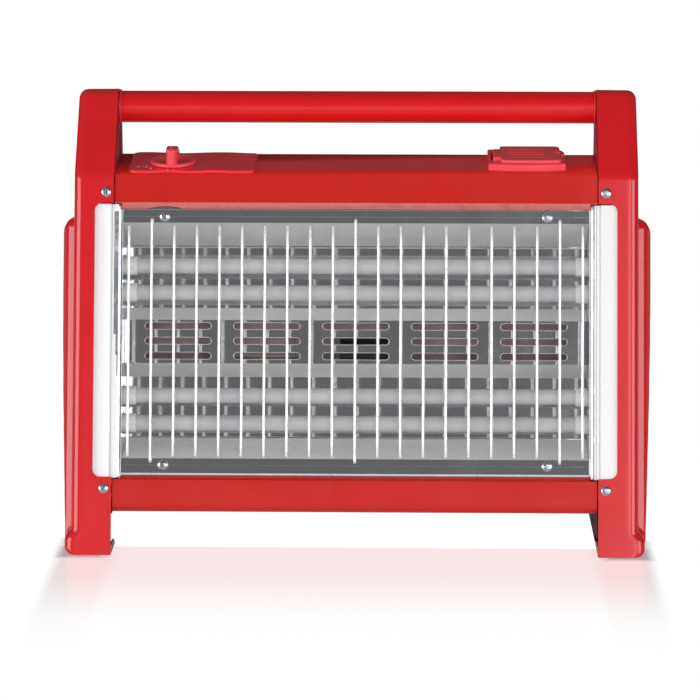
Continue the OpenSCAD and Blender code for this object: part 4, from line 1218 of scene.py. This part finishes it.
flap = joined([f, tongue, barrel, neck2, rim], "lid_flap_moulded")
place(flap, "filler_lid", "control_plastic", "lid_flap")

# ------------------------------------------------------------------ kept nodes
KEPT = {
    "lamp_bracket_left": "zinc", "lamp_bracket_right": "zinc", "lamp_terminals_left": "brass",
    "lamp_terminals_right": "brass", "handle_screws": "zinc", "switch_body": "dark", "switch_spindle": "pale",
    "water_tank": "tank", "tilt_switch": "dark", "thermal_cutout": "zinc", "terminal_block": "pale",
    "wiring_supply": "sleeve", "wiring_lamps": "sleeve", "cable_gland": "black",
}
for name, key in KEPT.items():
    ob = NODES[name]
    ob.data.materials.clear()
    ob.data.materials.append(M[key])

# ------------------------------------------------------------------ studio
floor_me = bpy.data.meshes.new("studio_floor")
floor_me.from_pydata([(-14, -14, 0), (14, -14, 0), (14, 14, 0), (-14, 14, 0)], [], [(0, 1, 2, 3)])
floor = bpy.data.objects.new("studio_floor", floor_me)
floor.location = (0, 0, -0.0003)
scene.collection.objects.link(floor)
fm, nt, b = shader("pale_studio_floor")
vec = coords(nt)
nt.links.new(blend(nt, noise(nt, vec, 1.3), (0.43, 0.43, 0.43), (0.46, 0.46, 0.46)), b.inputs["Base Color"])
nt.links.new(spread(nt, noise(nt, vec, 8.0), 0.50, 0.60), b.inputs["Roughness"])
b.inputs["Specular IOR Level"].default_value = 0.1
b.inputs["Emission Color"].default_value = (1, 1, 1, 1)
b.inputs["Emission Strength"].default_value = 0.17
# white to the eye, with a soft reflection that fades away from the object
lp = nt.nodes.new("ShaderNodeLightPath")
em = nt.nodes.new("ShaderNodeEmission")
em.inputs["Color"].default_value = (1, 1, 1, 1)
em.inputs["Strength"].default_value = 1.0
gl = nt.nodes.new("ShaderNodeBsdfGlossy")
gl.inputs["Color"].default_value = (1, 1, 1, 1)
gl.inputs["Roughness"].default_value = 0.06
sep = nt.nodes.new("ShaderNodeSeparateXYZ")
nt.links.new(vec, sep.inputs[0])


def math_node(op, a, b_=None, clamp=False):
    n = nt.nodes.new("ShaderNodeMath")
    n.operation = op
    n.use_clamp = clamp
    for sock, v in zip(n.inputs, (a, b_)):
        if v is None:
            continue
        if isinstance(v, (int, float)):
            sock.default_value = v
        else:
            nt.links.new(v, sock)
    return n.outputs[0]


dx = math_node("SUBTRACT", math_node("ABSOLUTE", sep.outputs[0]), 0.225)
dy = math_node("SUBTRACT", math_node("ABSOLUTE", sep.outputs[1]), 0.075)
far = math_node("MAXIMUM", dx, dy)
fade = nt.nodes.new("ShaderNodeMapRange")
fade.interpolation_type = "SMOOTHERSTEP"
fade.inputs["From Min"].default_value = -0.02
fade.inputs["From Max"].default_value = 0.30
fade.inputs["To Min"].default_value = 0.17
fade.inputs["To Max"].default_value = 0.0
nt.links.new(far, fade.inputs["Value"])
seen = nt.nodes.new("ShaderNodeMixShader")
gate = nt.nodes.new("ShaderNodeMapRange")
gate.interpolation_type = "SMOOTHSTEP"
for k_, v_ in (("From Min", -0.050), ("From Max", -0.045), ("To Min", 1.0), ("To Max", 0.0)):
    gate.inputs[k_].default_value = v_
nt.links.new(sep.outputs[1], gate.inputs["Value"])
mid = nt.nodes.new("ShaderNodeMapRange")
mid.interpolation_type = "SMOOTHSTEP"
for k_, v_ in (("From Min", 0.180), ("From Max", 0.192), ("To Min", 0.35), ("To Max", 1.0)):
    mid.inputs[k_].default_value = v_
nt.links.new(math_node("ABSOLUTE", sep.outputs[0]), mid.inputs["Value"])
side = nt.nodes.new("ShaderNodeMapRange")
side.interpolation_type = "SMOOTHSTEP"
for k_, v_ in (("From Min", 0.222), ("From Max", 0.234), ("To Min", 1.0), ("To Max", 0.0)):
    side.inputs[k_].default_value = v_
nt.links.new(math_node("ABSOLUTE", sep.outputs[0]), side.inputs["Value"])
weight = math_node("MULTIPLY", math_node("MULTIPLY", fade.outputs["Result"], gate.outputs["Result"]), side.outputs["Result"])
nt.links.new(math_node("MULTIPLY", weight, mid.outputs["Result"]), seen.inputs[0])
# painted reflection: a pink tint of the red front, painted on the white floor in front of the object
painted_red_reflection_ramp = nt.nodes.new("ShaderNodeMapRange")
painted_red_reflection_ramp.interpolation_type = "SMOOTHSTEP"
for k_, v_ in (("From Min", -0.26), ("From Max", -0.10), ("To Min", 0.0), ("To Max", 1.0)):
    painted_red_reflection_ramp.inputs[k_].default_value = v_
nt.links.new(sep.outputs[1], painted_red_reflection_ramp.inputs["Value"])
painted_reflection_amount = math_node("MULTIPLY", math_node("MULTIPLY", painted_red_reflection_ramp.outputs["Result"], gate.outputs["Result"]), side.outputs["Result"])
tint = nt.nodes.new("ShaderNodeCombineXYZ")
tint.inputs[0].default_value = 1.0
nt.links.new(math_node("SUBTRACT", 1.0, math_node("MULTIPLY", painted_reflection_amount, 0.16)), tint.inputs[1])
nt.links.new(math_node("SUBTRACT", 1.0, math_node("MULTIPLY", painted_reflection_amount, 0.16)), tint.inputs[2])
nt.links.new(tint.outputs[0], em.inputs["Color"])
# painted contact shadow: the white's emission drops to half in a band round the feet
fdx = math_node("SUBTRACT", math_node("ABSOLUTE", math_node("SUBTRACT", math_node("ABSOLUTE", sep.outputs[0]), 0.2115)), 0.012)
fdy = math_node("SUBTRACT", math_node("ABSOLUTE", math_node("ADD", sep.outputs[1], 0.052)), 0.023)
painted_contact_shadow = nt.nodes.new("ShaderNodeMapRange")
painted_contact_shadow.interpolation_type = "SMOOTHSTEP"
for k_, v_ in (("From Min", 0.0), ("From Max", 0.011), ("To Min", 0.50), ("To Max", 1.0)):
    painted_contact_shadow.inputs[k_].default_value = v_
nt.links.new(math_node("MAXIMUM", fdx, fdy), painted_contact_shadow.inputs["Value"])
nt.links.new(painted_contact_shadow.outputs["Result"], em.inputs["Strength"])
nt.links.new(em.outputs[0], seen.inputs[1])
nt.links.new(gl.outputs[0], seen.inputs[2])
both = nt.nodes.new("ShaderNodeMixShader")
nt.links.new(lp.outputs["Is Camera Ray"], both.inputs[0])
nt.links.new(b.outputs[0], both.inputs[1])
nt.links.new(seen.outputs[0], both.inputs[2])
fo = next(n for n in nt.nodes if n.type == "OUTPUT_MATERIAL")
nt.links.new(both.outputs[0], fo.inputs["Surface"])
floor_me.materials.append(fm)

world = bpy.data.worlds.new("studio")
scene.world = world
world.use_nodes = True
nt = world.node_tree
nt.nodes.clear()
out = nt.nodes.new("ShaderNodeOutputWorld")
mixs = nt.nodes.new("ShaderNodeMixShader")
lp = nt.nodes.new("ShaderNodeLightPath")
bg_cam = nt.nodes.new("ShaderNodeBackground")
bg_cam.inputs["Color"].default_value = (1, 1, 1, 1)
bg_cam.inputs["Strength"].default_value = 1.0
bg = nt.nodes.new("ShaderNodeBackground")
tc = nt.nodes.new("ShaderNodeTexCoord")
sep = nt.nodes.new("ShaderNodeSeparateXYZ")
nt.links.new(tc.outputs["Generated"], sep.inputs[0])


def ramp(v, a, b_, lo, hi, kind="SMOOTHSTEP"):
    n = nt.nodes.new("ShaderNodeMapRange")
    n.interpolation_type = kind
    n.inputs["From Min"].default_value = a
    n.inputs["From Max"].default_value = b_
    n.inputs["To Min"].default_value = lo
    n.inputs["To Max"].default_value = hi
    nt.links.new(v, n.inputs["Value"])
    return n.outputs["Result"]


# front half: dark round the camera, brighter above; back half: dim, with a bright low horizon
dp = nt.nodes.new("ShaderNodeVectorMath")
dp.operation = "DOT_PRODUCT"
dp.inputs[1].default_value = (0.0, -0.955, 0.297)
nt.links.new(tc.outputs["Generated"], dp.inputs[0])
high = math_node("MULTIPLY", ramp(sep.outputs[2], 0.42, 0.80, 0.20, 0.12), ramp(sep.outputs[0], -0.35, 0.35, 1.15, 0.35))
cone = ramp(dp.outputs["Value"], 0.80, 0.93, 0.0, 1.0)
base_w = math_node("ADD", math_node("MULTIPLY", high, math_node("SUBTRACT", 1.0, cone)), math_node("MULTIPLY", cone, 0.135))
# a pale wall low on the right, seen in the gloss of the right panel
pale = math_node("MULTIPLY", ramp(sep.outputs[0], 0.075, 0.12, 0.0, 1.0), ramp(sep.outputs[0], 0.24, 0.34, 1.0, 0.0))
pale = math_node("MULTIPLY", pale, ramp(sep.outputs[2], 0.06, 0.14, 0.0, 1.0))
pale = math_node("MULTIPLY", pale, ramp(sep.outputs[2], 0.40, 0.50, 1.0, 0.0))
front = math_node("ADD", base_w, math_node("MULTIPLY", pale, 3.2))
low = ramp(sep.outputs[2], 0.29, 0.335, 0.03, 0.095)
back = ramp(sep.outputs[1], -0.10, 0.25, 0.0, 1.0)
glow = math_node("ADD", math_node("MULTIPLY", front, math_node("SUBTRACT", 1.0, back)), math_node("MULTIPLY", low, back))
comb = nt.nodes.new("ShaderNodeCombineXYZ")
nt.links.new(glow, comb.inputs[0])
nt.links.new(glow, comb.inputs[1])
nt.links.new(math_node("MULTIPLY", glow, 1.03), comb.inputs[2])
nt.links.new(comb.outputs[0], bg.inputs["Color"])
bg.inputs["Strength"].default_value = 1.0
nt.links.new(lp.outputs["Is Camera Ray"], mixs.inputs[0])
nt.links.new(bg.outputs[0], mixs.inputs[1])
nt.links.new(bg_cam.outputs[0], mixs.inputs[2])
nt.links.new(mixs.outputs[0], out.inputs["Surface"])


def area(name, loc, target, sx, sy, watts, glossy=True):
    ld = bpy.data.lights.new(name, "AREA")
    ld.shape = "RECTANGLE"
    ld.size, ld.size_y = sx, sy
    ld.energy = watts
    ob = bpy.data.objects.new(name, ld)
    ob.location = loc
    ob.rotation_euler = (Vector(target) - Vector(loc)).to_track_quat("-Z", "Y").to_euler()
    scene.collection.objects.link(ob)
    ob.visible_camera = False
    ob.visible_glossy = glossy
    return ob


area("left_softbox", (-2.75, -1.75, 0.62), (0, 0, 0.17), 2.5, 1.5, 46.0)
area("right_softbox", (2.45, -2.05, 0.62), (0, 0, 0.17), 1.9, 1.5, 34.0)
area("front_fill", (0.0, -3.1, 0.50), (0, 0, 0.17), 1.6, 0.8, 30.0, glossy=False)

scene.view_settings.view_transform = "Standard"
scene.view_settings.look = "None"
scene.view_settings.exposure = 0.0
scene.view_settings.gamma = 1.0
